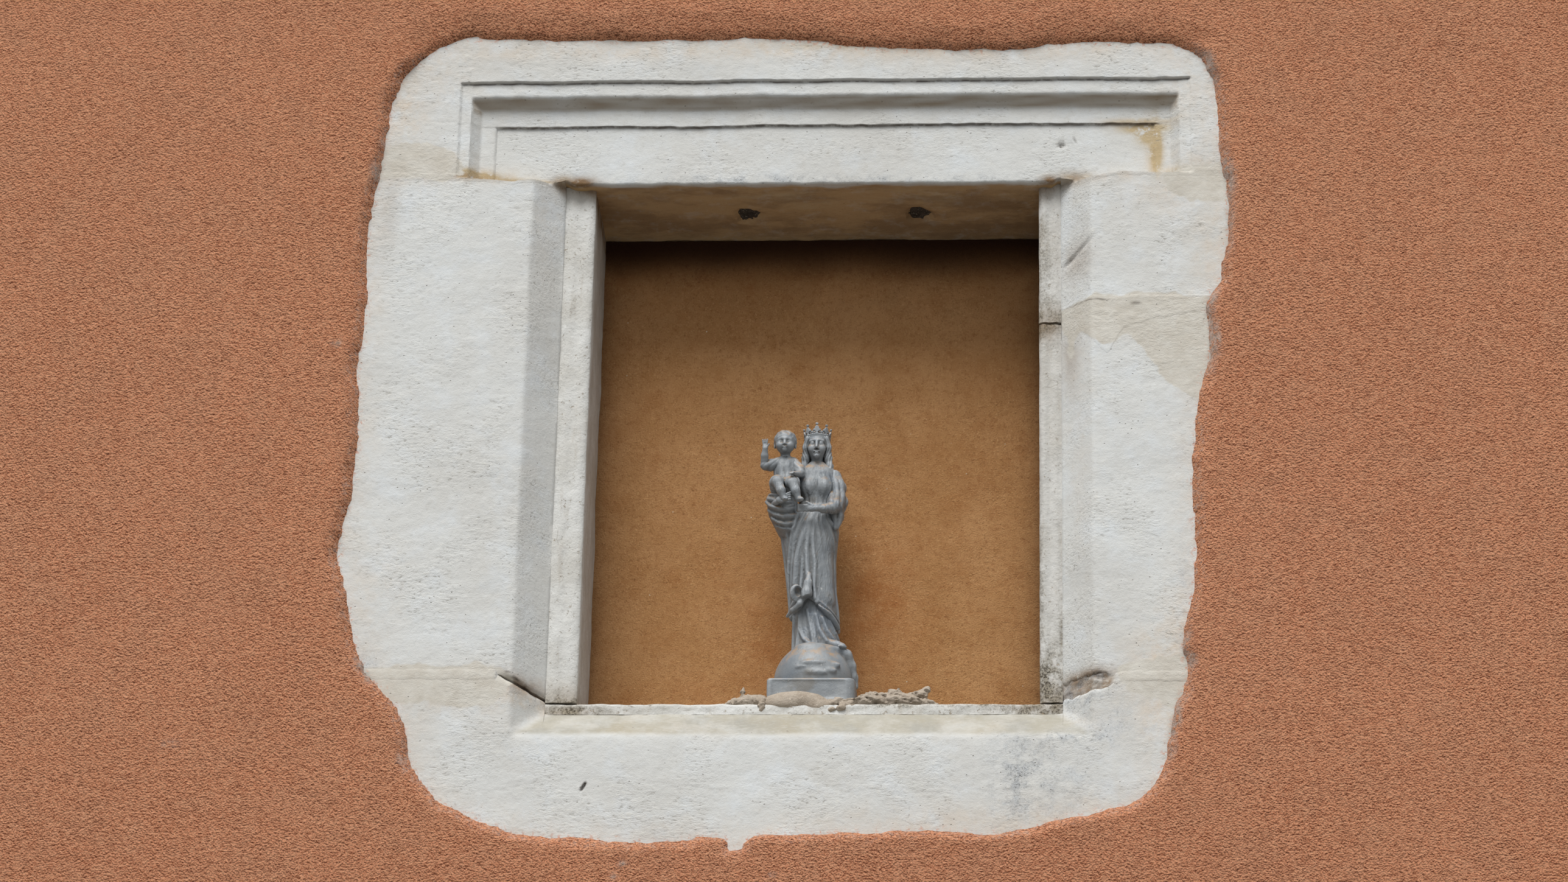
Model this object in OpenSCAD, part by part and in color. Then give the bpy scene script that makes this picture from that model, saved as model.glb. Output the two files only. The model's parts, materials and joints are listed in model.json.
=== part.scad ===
// Niche shrine: a statuette of a crowned mother and child on the ledge of a blocked-up window,
// with its stone surround, in one bay of a roughcast rubble wall.
// The front faces -Y, +X is to the right, +Z is up, and the origin is at the middle of the base.

/* [Wall bay] */
// Width of the bay
bay_w = 2600; // [2200:50:3600]
// Height of the bay
bay_h = 1550; // [1500:10:2400]
// Thickness of the wall over both coats of roughcast
wall_t = 500; // [460:10:700]
// Thickness of a coat of roughcast
render_t = 15; // [10:1:25]

/* [Window opening] */
// Width between the jambs behind their chamfers
frame_w = 754; // [700:2:790]
// Chamfer round the opening
chamfer = 46; // [30:1:52]
// Depth from the face of the stones to the plastered back
niche_depth = 222; // [180:2:226]
// Height of the ledge above the base
ledge_z = 345; // [335:1:350]
// Thickness of the ledge above the seat of the sill
ledge_t = 19; // [12:1:24]
// Height of the soffit above the base
soffit_z = 1181; // [1170:1:1190]

/* [Surround stones] */
// Depth of the stones in the wall
stone_depth = 235; // [230:1:260]
// Left ends of the lintel and jamb
stone_left = -720; // [-780:5:-700]
// Right ends of the lintel and jambs
stone_right = 690; // [650:5:760]
// Top of the lintel
lintel_top = 1450; // [1435:5:1490]
// Bottom of the sill stone
sill_bottom = 80; // [50:5:90]
// Thickness of the mortar joint under the lintel
joint_t = 6; // [3:1:9]
// How far the joints are raked back from the face
rake = 5; // [2:1:10]
// Rake of the joint over the lower right jamb stone, which is filled nearly flush
flush_rake = 2; // [1:1:6]

/* [Lintel mouldings] */
// Left edge of the sunk panel
panel_left = -541; // [-560:1:-520]
// Right edge of the sunk panel
panel_right = 575; // [560:1:600]
// Top edge of the sunk panel
panel_top = 1346; // [1330:1:1352]
// Depth of each small step
step_d = 4; // [2:1:6]
// Depth of the hollow between the steps
hollow_d = 18; // [12:1:22]
// Radius of the worn lower edge
arris_r = 8; // [4:1:20]

/* [Linings and plaster] */
// Width of the left lining
left_lining_w = 47; // [30:1:60]
// Width of the right lining
right_lining_w = 34; // [25:1:45]
// Radius of the linings' inner edges
lining_r = 7; // [3:1:10]
// Bottom and top of the break in the right lining
lining_break = [951, 955];

/* [Bar sockets] */
// Width of an old bar socket in the soffit
socket_w = 36; // [20:1:50]
// Length of a socket into the niche
socket_l = 46; // [25:1:60]
// Depth of a socket in the lintel
socket_d = 50; // [20:1:80]
// How far the filling of a socket stays back from the soffit
filling_set = 3; // [1:1:10]
// Distance of the sockets behind the face of the stones
socket_y = 140; // [100:1:160]
// Places of the two sockets across the opening
socket_x = [-103, 160];

/* [Statuette] */
// Middle of the statuette across the niche
figure_x = 9; // [-20:1:40]
// Distance of the plinth's front behind the ledge's front edge
figure_set_back = 24; // [10:1:40]
// Side of the square plinth block
plinth_w = 130; // [110:1:136]
// Height of the plinth block
plinth_h = 38; // [25:1:50]
// Thickness of the mortar under the plinth
bed_t = 10; // [5:1:16]
// Radius of the dome under the feet
globe_r = 60; // [50:1:62]
// Height of the dome's centre over the plinth block
globe_lift = 15; // [0:1:20]
// Shift of the dome to the right of the plinth's middle
globe_shift = 1.5; // [0:0.5:4]
// Height of the feet over the plinth block
feet_h = 60; // [50:1:70]

/* [Hidden] */
$fn = 48;
e = 1;

face_y = -wall_t / 2 + render_t;
rear_y = wall_t / 2 - render_t;
stone_back = face_y + stone_depth;
niche_back = face_y + niche_depth;
recess_y = face_y + chamfer;
half_w = frame_w / 2;
seat_z = ledge_z - ledge_t;
jamb_top = soffit_z - joint_t;
lining_left = -half_w + left_lining_w;
lining_right = half_w - right_lining_w;
fascia_y = face_y + 2 * step_d + hollow_d;

plinth_z = ledge_z + bed_t;
globe_z = plinth_z + plinth_h;
plinth_x = 9.5;
plinth_y = recess_y + figure_set_back + plinth_w / 2;
foot_z = globe_z + feet_h;
figure_y = plinth_y + 1;

// Inner edge of the roughcast, which laps unevenly over the stones: X and Z, clockwise from the left top
render_edge = [
    [-655, 1265], [-645, 1330], [-605, 1390], [-540, 1424], [-425, 1421], [-290, 1420], [-165, 1419],
    [-35, 1417], [75, 1405], [185, 1399], [300, 1399], [395, 1408], [515, 1407], [575, 1395],
    [610, 1350], [620, 1290], [620, 1230], [630, 1160], [630, 1090], [620, 1005], [598, 965],
    [602, 895], [585, 815], [578, 740], [572, 670], [575, 600], [570, 500], [553, 415], [560, 375],
    [536, 292], [520, 225], [490, 176], [380, 145], [278, 123], [180, 128], [70, 123], [-60, 121],
    [-79, 100], [-104, 100], [-116, 118], [-210, 109], [-330, 117], [-425, 127], [-520, 173],
    [-565, 230], [-590, 315], [-650, 390], [-675, 500], [-690, 565], [-675, 680], [-672, 770],
    [-679, 865], [-670, 950], [-676, 1075], [-662, 1190]];
// Where the roughcast is parted into four pieces round the stones
render_cut_left = -545;
render_cut_right = 530;

// Broken top of the lower right jamb stone, X and Z from the opening outwards
broken_top = [[0, 925], [15, 902], [33, 926], [69, 886], [92, 930], [140, 946], [215, 958]];
right_joint_z = 971;
left_joint = [[-63, 374], [0, 353]];
right_joint_low = 357;
right_joint_high = 376;
left_shoulder_z = 347;

// Broken corners made good with mortar, X and Z
left_patch = [[-642, 1181], [-644, 1212], [-630, 1229], [-590, 1231], [-556, 1219], [-533, 1196], [-531, 1181]];
right_patch = [[533, 1175], [545, 1163], [566, 1160], [583, 1146], [604, 1142], [640, 1150], [640, 1175]];
patch_d = 12;

// Outlines

function catmull(a, b, c, d, t) =
    0.5 * (2 * b + (c - a) * t + (2 * a - 5 * b + 4 * c - d) * t * t + (3 * b - a - 3 * c + d) * t * t * t);

function smooth_loop(pts, steps) =
    let (n = len(pts))
    [for (i = [0:n - 1]) for (j = [0:steps - 1])
        catmull(pts[(i + n - 1) % n], pts[i], pts[(i + 1) % n], pts[(i + 2) % n], j / steps)];

function shift_x(pts, dx) = [for (p = pts) [p[0] + dx, p[1]]];

// Solids drawn from an outline in one of the three planes

module slab_xz(pts, y0, y1) {
    translate([0, y1, 0]) rotate([90, 0, 0]) linear_extrude(y1 - y0) polygon(pts);
}

module bar_yz(pts, x0, x1) {
    translate([x0, 0, 0]) rotate([90, 0, 90]) linear_extrude(x1 - x0) polygon(pts);
}

module post_xy(pts, z0, z1) {
    translate([0, 0, z0]) linear_extrude(z1 - z0) polygon(pts);
}

module block(x0, x1, y0, y1, z0, z1) {
    translate([x0, y0, z0]) cube([x1 - x0, y1 - y0, z1 - z0]);
}

// Lofts through rings of points

function ring_faces(rings, n, k) =
    [for (r = [0:rings - 2]) for (i = [0:n - 1]) let (a = r * n + i, b = r * n + (i + 1) % n)
        k == 0 ? [a, b + n, b] : [a, a + n, b + n]];

// Joins equal rings of points
module loft(rings) {
    n = len(rings[0]);
    m = len(rings);
    polyhedron(
        points = [for (r = rings) for (p = r) p],
        faces = concat(ring_faces(m, n, 0), ring_faces(m, n, 1), [[for (i = [0:n - 1]) i]],
            [[for (i = [n - 1:-1:0]) (m - 1) * n + i]]),
        convexity = 6);
}

// A tube between equal rings of points outside and inside, open at both ends
module shell(outer, inner) {
    n = len(outer[0]);
    m = len(outer);
    all = m * n;
    last = all - n;
    polyhedron(
        points = [for (r = concat(outer, inner)) for (p = r) p],
        faces = concat(ring_faces(m, n, 0), ring_faces(m, n, 1),
            [for (k = [0, 1]) for (f = ring_faces(m, n, k)) [f[0] + all, f[2] + all, f[1] + all]],
            [for (i = [0:n - 1]) [i, (i + 1) % n, all + (i + 1) % n]],
            [for (i = [0:n - 1]) [i, all + (i + 1) % n, all + i]],
            [for (i = [0:n - 1]) [last + i, all + last + (i + 1) % n, last + (i + 1) % n]],
            [for (i = [0:n - 1]) [last + i, all + last + i, all + last + (i + 1) % n]]),
        convexity = 8);
}

function unit(v) = v / norm(v);

// Side directions for the rings of a limb, carried along it without a twist
function carried(dirs, side, i = 0) =
    i == len(dirs) ? [] :
    let (u = unit(side - (side * dirs[i]) * dirs[i])) concat([u], carried(dirs, u, i + 1));

// A tapering limb along a path of [x, y, z, radius]
module limb(path, steps = 4, n = 12) {
    last = len(path) - 1;
    fine = concat([for (i = [0:last - 1]) for (j = [0:steps - 1])
        catmull(path[max(i - 1, 0)], path[i], path[i + 1], path[min(i + 2, last)], j / steps)], [path[last]]);
    m = len(fine) - 1;
    xyz = [for (p = fine) [p[0], p[1], p[2]]];
    dirs = [for (i = [0:m]) unit(xyz[min(i + 1, m)] - xyz[max(i - 1, 0)])];
    sides = carried(dirs, abs(dirs[0][2]) > 0.7 ? [0, 1, 0] : [0, 0, 1]);
    loft([for (i = [0:m]) [for (k = [0:n - 1]) let (a = 360 * k / n)
        xyz[i] + fine[i][3] * (sides[i] * cos(a) + cross(dirs[i], sides[i]) * sin(a))]]);
}

module ellipsoid(c, r) {
    translate(c) scale([r[0] / r[2], r[1] / r[2], 1]) sphere(r[2]);
}

// Wall

module masonry_side(side, inner, stone_end) {
    post_xy([[side * bay_w / 2, face_y], [stone_end, face_y], [stone_end, stone_back], [inner, stone_back],
        [inner, rear_y], [side * bay_w / 2, rear_y]], 0, bay_h);
}

module masonry_left() {
    color("#8d8375") masonry_side(-1, -half_w, stone_left);
}

module masonry_right() {
    color("#8d8375") masonry_side(1, half_w, stone_right);
}

module masonry_above() {
    color("#8d8375") {
        block(stone_left, stone_right, face_y, stone_back, lintel_top, bay_h);
        block(-half_w, half_w, stone_back, rear_y, soffit_z, bay_h);
    }
}

module masonry_below() {
    color("#8d8375") {
        block(stone_left, stone_right, face_y, stone_back, 0, sill_bottom);
        block(-half_w, half_w, stone_back, rear_y, 0, seat_z);
    }
}

module window_blocking() {
    color("#9a8d7c") block(-half_w, half_w, stone_back, rear_y, seat_z, soffit_z);
}

// Roughcast

module front_coat(x0, x1, z0, z1) {
    difference() {
        block(x0, x1, -wall_t / 2, face_y, z0, z1);
        slab_xz(smooth_loop(render_edge, 4), -wall_t / 2 - e, face_y + e);
    }
}

module render_left() {
    color("#bd7a5c") front_coat(-bay_w / 2, render_cut_left, 0, bay_h);
}

module render_right() {
    color("#bd7a5c") front_coat(render_cut_right, bay_w / 2, 0, bay_h);
}

module render_above() {
    color("#bd7a5c") front_coat(render_cut_left, render_cut_right, soffit_z, bay_h);
}

module render_below() {
    color("#bd7a5c") front_coat(render_cut_left, render_cut_right, 0, ledge_z);
}

module rear_render() {
    color("#bd7a5c") block(-bay_w / 2, bay_w / 2, rear_y, wall_t / 2, 0, bay_h);
}

// Stone surround

// The chamfered mouth of the opening, mitred at the sill
module splay() {
    w = half_w + chamfer + e;
    intersection() {
        post_xy([[-w, face_y - e], [w, face_y - e], [half_w, recess_y], [half_w, stone_back + e],
            [-half_w, stone_back + e], [-half_w, recess_y]], sill_bottom - e, soffit_z + e);
        bar_yz([[face_y - e, seat_z - chamfer - e], [recess_y, seat_z], [stone_back + e, seat_z],
            [stone_back + e, soffit_z + e], [face_y - e, soffit_z + e]], -bay_w / 2, bay_w / 2);
    }
}

// Insets and depths of the panel moulding, from its outer edge inwards: step, fillet, hollow, band, step
function moulding(fillet, hollow, band) = concat(
    [[0, -e], [0, step_d]],
    [for (a = [0:15:90]) [fillet + hollow * (1 - cos(a)), step_d + hollow_d * sin(a)]],
    [[fillet + hollow + band, step_d + hollow_d], [fillet + hollow + band, 2 * step_d + hollow_d]]);

// The sunk panel of the lintel, whose moulding turns down at both ends
module panel_void() {
    side = moulding(18, 14, 22);
    top = moulding(26, 16, 26);
    n = len(side) - 1;
    intersection() {
        post_xy(concat(
            [for (p = side) [panel_left + p[0], face_y + p[1]]],
            [for (i = [n:-1:0]) [panel_right - side[i][0], face_y + side[i][1]]]), soffit_z - e, lintel_top);
        bar_yz(concat(
            [for (p = top) [face_y + p[1], panel_top - p[0]]],
            [[fascia_y, soffit_z - e], [face_y - e, soffit_z - e]]), panel_left - e, panel_right + e);
    }
}

module worn_arris() {
    difference() {
        block(-half_w, half_w, fascia_y - e, fascia_y + arris_r, soffit_z - e, soffit_z + arris_r);
        translate([-half_w - e, fascia_y + arris_r, soffit_z + arris_r])
            rotate([0, 90, 0]) cylinder(h = frame_w + 2 * e, r = arris_r);
    }
}

module socket(x, z0, z1) {
    block(x - socket_w / 2, x + socket_w / 2, face_y + socket_y - socket_l / 2,
        face_y + socket_y + socket_l / 2, z0, z1);
}

module lintel() {
    color("#d3d1cb") difference() {
        block(stone_left, stone_right, face_y, stone_back, soffit_z, lintel_top);
        panel_void();
        worn_arris();
        for (x = socket_x) socket(x, soffit_z - e, soffit_z + socket_d);
        slab_xz(left_patch, face_y - e, face_y + patch_d);
    }
}

module left_jamb() {
    color("#d3d1cb") difference() {
        slab_xz([[stone_left, left_joint[0][1]], [-half_w + left_joint[0][0], left_joint[0][1]],
            [-half_w, left_joint[1][1]], [-half_w, jamb_top], [stone_left, jamb_top]], face_y, stone_back);
        splay();
    }
}

module right_jamb_upper() {
    color("#d3d1cb") difference() {
        block(half_w, stone_right, face_y, stone_back, right_joint_z, jamb_top);
        splay();
        slab_xz(right_patch, face_y - e, face_y + patch_d);
    }
}

module right_jamb_lower() {
    top = shift_x(broken_top, half_w);
    color("#d3d1cb") difference() {
        slab_xz(concat([[stone_right, right_joint_high], [half_w, right_joint_high]], top,
            [[stone_right, top[len(top) - 1][1]]]), face_y, stone_back);
        splay();
    }
}

module sill_stone() {
    color("#d3d1cb") difference() {
        slab_xz([[stone_left, sill_bottom], [stone_right, sill_bottom],
            [stone_right, right_joint_low], [half_w, right_joint_low], [half_w, seat_z],
            [-half_w, seat_z], [-half_w, left_shoulder_z], [stone_left, left_shoulder_z]],
            face_y, stone_back);
        splay();
    }
}

// Mortar

module joint(pts, raked) {
    difference() {
        slab_xz(pts, face_y + raked, stone_back);
        splay();
    }
}

module mortar_lintel_left() {
    color("#c9bda6") {
        joint([[stone_left, jamb_top], [-half_w, jamb_top], [-half_w, soffit_z], [stone_left, soffit_z]], rake);
        slab_xz(left_patch, face_y, face_y + patch_d);
    }
}

module mortar_lintel_right() {
    color("#c9bda6") {
        joint([[half_w, jamb_top], [stone_right, jamb_top], [stone_right, soffit_z], [half_w, soffit_z]], rake);
        slab_xz(right_patch, face_y, face_y + patch_d);
    }
}

module mortar_jamb_right() {
    color("#c9bda6") joint(concat(shift_x(broken_top, half_w),
        [[stone_right, broken_top[len(broken_top) - 1][1]], [stone_right, right_joint_z],
        [half_w, right_joint_z]]), flush_rake);
}

module mortar_sill_left() {
    color("#c9bda6") joint([[stone_left, left_shoulder_z], [-half_w, left_shoulder_z],
        [-half_w, left_joint[1][1]], [-half_w + left_joint[0][0], left_joint[0][1]],
        [stone_left, left_joint[0][1]]], rake);
}

module mortar_sill_right() {
    color("#a89d88") joint([[half_w, right_joint_low], [stone_right, right_joint_low],
        [stone_right, right_joint_high], [half_w, right_joint_high]], 2 * rake);
}

module socket_filling_left() {
    color("#5a544c") socket(socket_x[0], soffit_z + filling_set, soffit_z + socket_d);
}

module socket_filling_right() {
    color("#5a544c") socket(socket_x[1], soffit_z + filling_set, soffit_z + socket_d);
}

// Lining, ledge and back of the niche

module lining(side, outer, inner, z0, z1) {
    r = lining_r;
    post_xy(concat([[outer, stone_back], [outer, recess_y]],
        [for (a = [0:15:90]) [inner - side * r * (1 - sin(a)), recess_y + r * (1 - cos(a))]],
        [[inner, stone_back]]), z0, z1);
}

module left_lining() {
    color("#c9c5bd") lining(1, -half_w, lining_left, ledge_z, soffit_z);
}

module right_lining_upper() {
    color("#c9c5bd") lining(-1, half_w, lining_right, lining_break[1], soffit_z);
}

module right_lining_lower() {
    color("#c9c5bd") lining(-1, half_w, lining_right, ledge_z, lining_break[0]);
}

module ledge() {
    color("#cfcbc0") block(-half_w, half_w, recess_y, stone_back, seat_z, ledge_z);
}

module niche_plaster() {
    color("#a8743c") block(lining_left, lining_right, niche_back, stone_back, ledge_z, soffit_z);
}

// Statuette

module plinth_block() {
    color("#8b8f92") block(plinth_x - plinth_w / 2, plinth_x + plinth_w / 2, plinth_y - plinth_w / 2,
        plinth_y + plinth_w / 2, plinth_z, globe_z);
}

module half_globe() {
    color("#7d8286") translate([plinth_x + globe_shift, figure_y, globe_z])
        rotate_extrude() intersection() {
            translate([0, globe_lift]) circle(globe_r);
            square(globe_r + globe_lift);
        }
}

// Stations of the gown: height over the feet, middle X, middle Y, half width, half depth, depth of the folds
gown_stations = [
    [-6, 4, -1, 39, 35, 0.10], [10, 4, -1, 38, 33, 0.10], [40, 2, -1, 36, 31, 0.09], [80, -2, -1, 34, 29, 0.07],
    [130, -5, 0, 33, 29, 0.05], [190, -6, 1, 32, 28, 0.03], [228, -3, 2, 29, 24, 0.02], [240, -1, 2, 28, 23, 0.02],
    [258, 0, 2, 30, 24, 0.02], [276, 0, 2, 33, 25, 0.02], [292, 0, 3, 35, 22, 0], [301, 0, 4, 31, 19, 0],
    [308, 0, 4, 21, 15, 0], [316, 0, 4, 12, 11, 0]];
mantle_stations = [
    [26, 3, 0, 38, 34], [43, 2, 0, 39, 35], [76, -1, 0, 39, 36], [99, -4, 1, 40, 36], [124, -6, 1, 41, 36],
    [155, -9, 2, 43, 37], [180, -9, 2, 46, 38], [203, -10, 2, 48, 37], [226, -9, 3, 42, 33]];
// Height of the mantle's hem for the turn round the figure, in degrees to the right of the front
mantle_hem = [
    [-180, 42], [-110, 44], [-80, 54], [-60, 57], [-40, 62], [-25, 70], [-10, 74], [10, 66], [30, 50], [60, 37],
    [80, 33], [110, 36], [180, 42]];
mantle_top = 226;
mantle_t = 4;

function station(table, z, k) = lookup(z, [for (s = table) [s[0], s[k]]]);

// A path given from the feet, with a radius at each stop
function on_feet(path) = [for (p = path) [figure_x + p[0], figure_y + p[1], foot_z + p[2], p[3]]];

// A level ring round the figure at a height over its feet
function figure_ring(c, r, z, n) = [for (i = [0:n - 1]) let (a = 360 * i / n)
    [figure_x + c[0] + r[0] * cos(a), figure_y + c[1] + r[1] * sin(a), foot_z + z]];

function gown_ring(z, n) = [for (i = [0:n - 1])
    let (a = 360 * i / n, k = 1 + station(gown_stations, z, 5) * cos(11 * a + 20 * sin(z)))
    [figure_x + station(gown_stations, z, 1) + station(gown_stations, z, 3) * k * cos(a),
     figure_y + station(gown_stations, z, 2) + station(gown_stations, z, 4) * k * sin(a), foot_z + z]];

module mother_gown() {
    color("#8b8f92") {
        loft([for (z = [-6, 0, 10, 25, 45, 65, 85, 105, 125, 145, 165, 185, 200, 215, 228, 240, 252, 264, 276, 285,
            292, 297, 301, 305, 308, 312, 316]) gown_ring(z, 44)]);
        limb(on_feet([[22, -20, 10, 8], [34, -25, 6, 7], [42, -28, 3.5, 5.5], [48, -30, 2, 3.5]]), 2, 10);
    }
}

// One ring of the mantle, a share of the way up from its hem
function mantle_ring(share, n, inset) = [for (i = [0:n - 1])
    let (a = 360 * i / n,
        turn = a < 90 ? a + 90 : a - 270,
        hem = lookup(turn, mantle_hem),
        z = hem + (mantle_top - hem) * share,
        k = 1 + 0.04 * cos(13 * a) * (1 - share))
    [figure_x + station(mantle_stations, z, 1) + (station(mantle_stations, z, 3) * k - inset) * cos(a),
     figure_y + station(mantle_stations, z, 2) + (station(mantle_stations, z, 4) * k - inset) * sin(a), foot_z + z]];

// The cloth that is gathered under the child: height, middle X, middle Y, half width, half depth
bundle_stations = [
    [182, -33, -3, 12, 16], [192, -38, -4, 20, 28], [206, -44, -6, 24, 31], [222, -49, -8, 27, 33],
    [240, -50, -9, 27, 33], [250, -50, -9, 24, 29], [258, -50, -9, 14, 20]];

module mother_mantle() {
    shares = [0, 0.05, 0.12, 0.2, 0.3, 0.4, 0.5, 0.6, 0.7, 0.8, 0.87, 0.94, 1];
    color("#7f8487") {
        shell([for (s = shares) mantle_ring(s, 52, 0)], [for (s = shares) mantle_ring(s, 52, mantle_t)]);
        loft([for (s = bundle_stations) figure_ring([s[1], s[2]], [s[3], s[4]], s[0], 24)]);
        limb(on_feet([[-26, -32, 98, 4], [-27, -36, 84, 9], [-25, -37, 72, 7], [-20, -34, 64, 3]]), 3, 10);
        limb(on_feet([[-8, -36, 112, 4], [-9, -38, 98, 7], [-10, -40, 82, 8]]), 2, 10);
        limb(on_feet([[-14, -37, 66, 5], [2, -36, 68, 6], [18, -32, 56, 6], [32, -24, 42, 5], [38, -14, 36, 4]]), 2, 10);
    }
}

skull = [0, 5, 344];
chin = [0, -4.5, 330];

module mother_head() {
    at = [figure_x, figure_y, foot_z];
    color("#8b8f92") {
        ellipsoid(at + skull, [18.5, 20.5, 21.5]);
        ellipsoid(at + chin, [12.5, 13, 16]);
        translate(at + [0, 3, 306]) cylinder(h = 16, r = 9);
        for (side = [-1, 1])
            limb(on_feet([[side * 13, -4, 350, 4], [side * 16.5, -3, 334, 5], [side * 17, 0, 319, 5.2],
                [side * 19, -1, 306, 5], [side * 20.5, -5, 294, 3.4]]), 2, 8);
        limb(on_feet([[0, 15, 334, 11], [0, 19, 308, 12], [0, 20, 288, 10]]), 2, 10);
    }
}

crown_r = 17.6;
crown_t = 2.4;
crown_band = 7.2;
crown_leaf = 15;
crown_z = 343.4;
crown_tilt = -7;

module mother_crown() {
    color("#7d8286") translate([figure_x, figure_y + 3, foot_z + crown_z]) rotate([crown_tilt, 0, 0]) {
        difference() {
            cylinder(h = crown_band, r1 = crown_r + crown_t / 2, r2 = crown_r + crown_t);
            translate([0, 0, -e]) cylinder(h = crown_band + 2 * e, r1 = crown_r - crown_t / 2, r2 = crown_r);
        }
        for (i = [0:7]) rotate([0, 0, 45 * i]) translate([crown_r + 0.4, 0, crown_band - e]) {
            cylinder(h = crown_leaf, r1 = 3.4, r2 = 1);
            translate([0, 0, crown_leaf]) sphere(2);
        }
    }
}

module mother_arm_left() {
    color("#8b8f92") {
        limb(on_feet([[27, 2, 292, 10], [31, -1, 272, 12.5], [32, -7, 247, 13], [28, -22, 231, 11],
            [13, -40, 219, 7], [4, -46, 217, 5], [-8, -49, 217, 5], [-25, -49, 218, 2.5]]));
        limb(on_feet([[33, -3, 246, 11], [33, -10, 218, 9], [31, -14, 200, 4]]), 3, 12);
    }
}

module mother_arm_right() {
    color("#8b8f92") limb(on_feet([[-27, 2, 292, 10], [-38, 0, 271, 12], [-54, -2, 252, 11.5], [-60, -14, 240, 9.5],
        [-61, -26, 233, 6.5], [-56, -42, 230, 5], [-50, -50, 231, 5], [-36, -56, 234, 2.5]]));
}

child_c = [-46, -19];
// Stations of the child's body: height over the mother's feet, half width, half depth
child_stations = [
    [246, 13, 11], [251, 19, 15], [258, 21, 17], [266, 20, 16.5], [275, 18, 14.5], [286, 18, 13.5], [297, 20, 12.5],
    [304, 19, 11], [309, 12, 9], [314, 8, 7.5]];

module child_body() {
    color("#8b8f92") {
        loft([for (s = child_stations) figure_ring(child_c, [s[1], s[2]], s[0], 24)]);
        limb(on_feet([[-55, -24, 257, 11], [-57, -40, 260, 10.5], [-56, -50, 258, 8], [-50, -55, 243, 6.6],
            [-46, -54, 232, 4.6], [-42, -61, 227, 3.4]]), 3, 10);
        limb(on_feet([[-37, -24, 256, 11], [-34, -40, 259, 10.5], [-33, -50, 257, 8], [-28, -55, 242, 6.6],
            [-24, -54, 231, 4.6], [-19, -62, 226, 3.4]]), 3, 10);
    }
}

module child_head() {
    color("#8b8f92") {
        ellipsoid([figure_x - 47, figure_y - 21, foot_z + 336], [16.5, 17.5, 17.5]);
        translate([figure_x - 46.5, figure_y - 20, foot_z + 308]) cylinder(h = 14, r = 7.5);
    }
}

module child_arm_left() {
    color("#8b8f92") limb(on_feet([[-33, -18, 303, 7.4], [-25, -23, 291, 7.2], [-23, -30, 281, 5.8],
        [-26, -42, 275, 4.4], [-31, -51, 272, 3.8], [-36, -59, 269, 2.4]]), 3, 10);
}

module child_arm_right() {
    color("#8b8f92") limb(on_feet([[-58, -19, 303, 8.2], [-69, -22, 299, 8.4], [-76, -26, 298, 7],
        [-77, -32, 307, 5.8], [-76, -38, 318, 4], [-76, -40, 325, 4.6], [-76, -41, 333, 2.4]]), 3, 10);
}

// Rough mortar ridges: stations of X, middle Y, half depth and height over the ledge
module ridge(stations, n = 8) {
    loft([for (s = stations) [for (i = [0:n]) let (a = 180 * i / n)
        [s[0], s[1] + s[2] * cos(a), ledge_z + s[3] * sin(a)]]]);
}

// The smooth lump in front: X, height over the ledge, reach before the ledge's front edge, drop below its top
front_lump = [
    [-60, 2, 0.4, 1], [-54, 11, 0.8, 7], [-46, 16, 1.4, 11], [-34, 20, 2.4, 14], [-20, 22, 2.6, 13], [-8, 22, 2, 12],
    [6, 20, 1.6, 11], [20, 15, 2.4, 16], [33, 9, 2, 14], [40, 10, 2.4, 14], [50, 14, 2.8, 15], [61, 12, 2, 12],
    [70, 11, 1.4, 10], [76, 2, 0.4, 1]];

module bedding_front() {
    back = plinth_y - plinth_w / 2;
    color("#a39d90") {
        loft([for (s = front_lump)
            [[s[0], back, ledge_z], [s[0], back, ledge_z + s[1] * 0.94], [s[0], back - 8, ledge_z + s[1]],
             [s[0], back - 17, ledge_z + s[1] * 0.8], [s[0], recess_y - s[2] * 0.7, ledge_z + s[1] * 0.35],
             [s[0], recess_y - s[2], ledge_z - s[3] * 0.4], [s[0], recess_y - s[2] * 0.5, ledge_z - s[3]],
             [s[0], recess_y, ledge_z - s[3]], [s[0], recess_y, ledge_z]]]);
        block(plinth_x - plinth_w / 2, plinth_x + plinth_w / 2, back, back + plinth_w, ledge_z, plinth_z);
    }
}

module bedding_left() {
    edge = plinth_x - plinth_w / 2;
    y = plinth_y - 53;
    color("#a39d90") {
        ridge([[edge - 69, y + 2, 2, 1], [edge - 62, y + 2, 8, 12], [edge - 51, y + 1, 14, 19],
            [edge - 42, y, 14, 23], [edge - 35, y + 3, 12, 39], [edge - 30, y, 15, 26], [edge - 18, y, 16, 26],
            [edge - 6, y, 16, 27], [edge, y, 15, 25]]);
        limb([[edge - 10, y - 10, 356, 7], [edge - 6, y - 27, 350, 6], [edge - 5, y - 34, 340, 4.6],
            [edge - 6, y - 35, 330, 3]], 2, 8);
    }
}

module bedding_right() {
    edge = plinth_x + plinth_w / 2;
    y = plinth_y - 64;
    color("#a39d90") ridge([[edge - 4, y, 17, 18], [edge + 10, y, 20, 25], [edge + 26, y, 21, 26],
        [edge + 42, y, 20, 29], [edge + 54, y, 19, 31], [edge + 61, y + 3, 16, 42], [edge + 68, y + 2, 17, 32],
        [edge + 82, y + 2, 16, 25], [edge + 96, y + 4, 14, 28], [edge + 104, y + 5, 12, 34],
        [edge + 110, y + 6, 9, 41], [edge + 115, y + 5, 8, 20], [edge + 121, y + 4, 2, 1]]);
}

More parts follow.
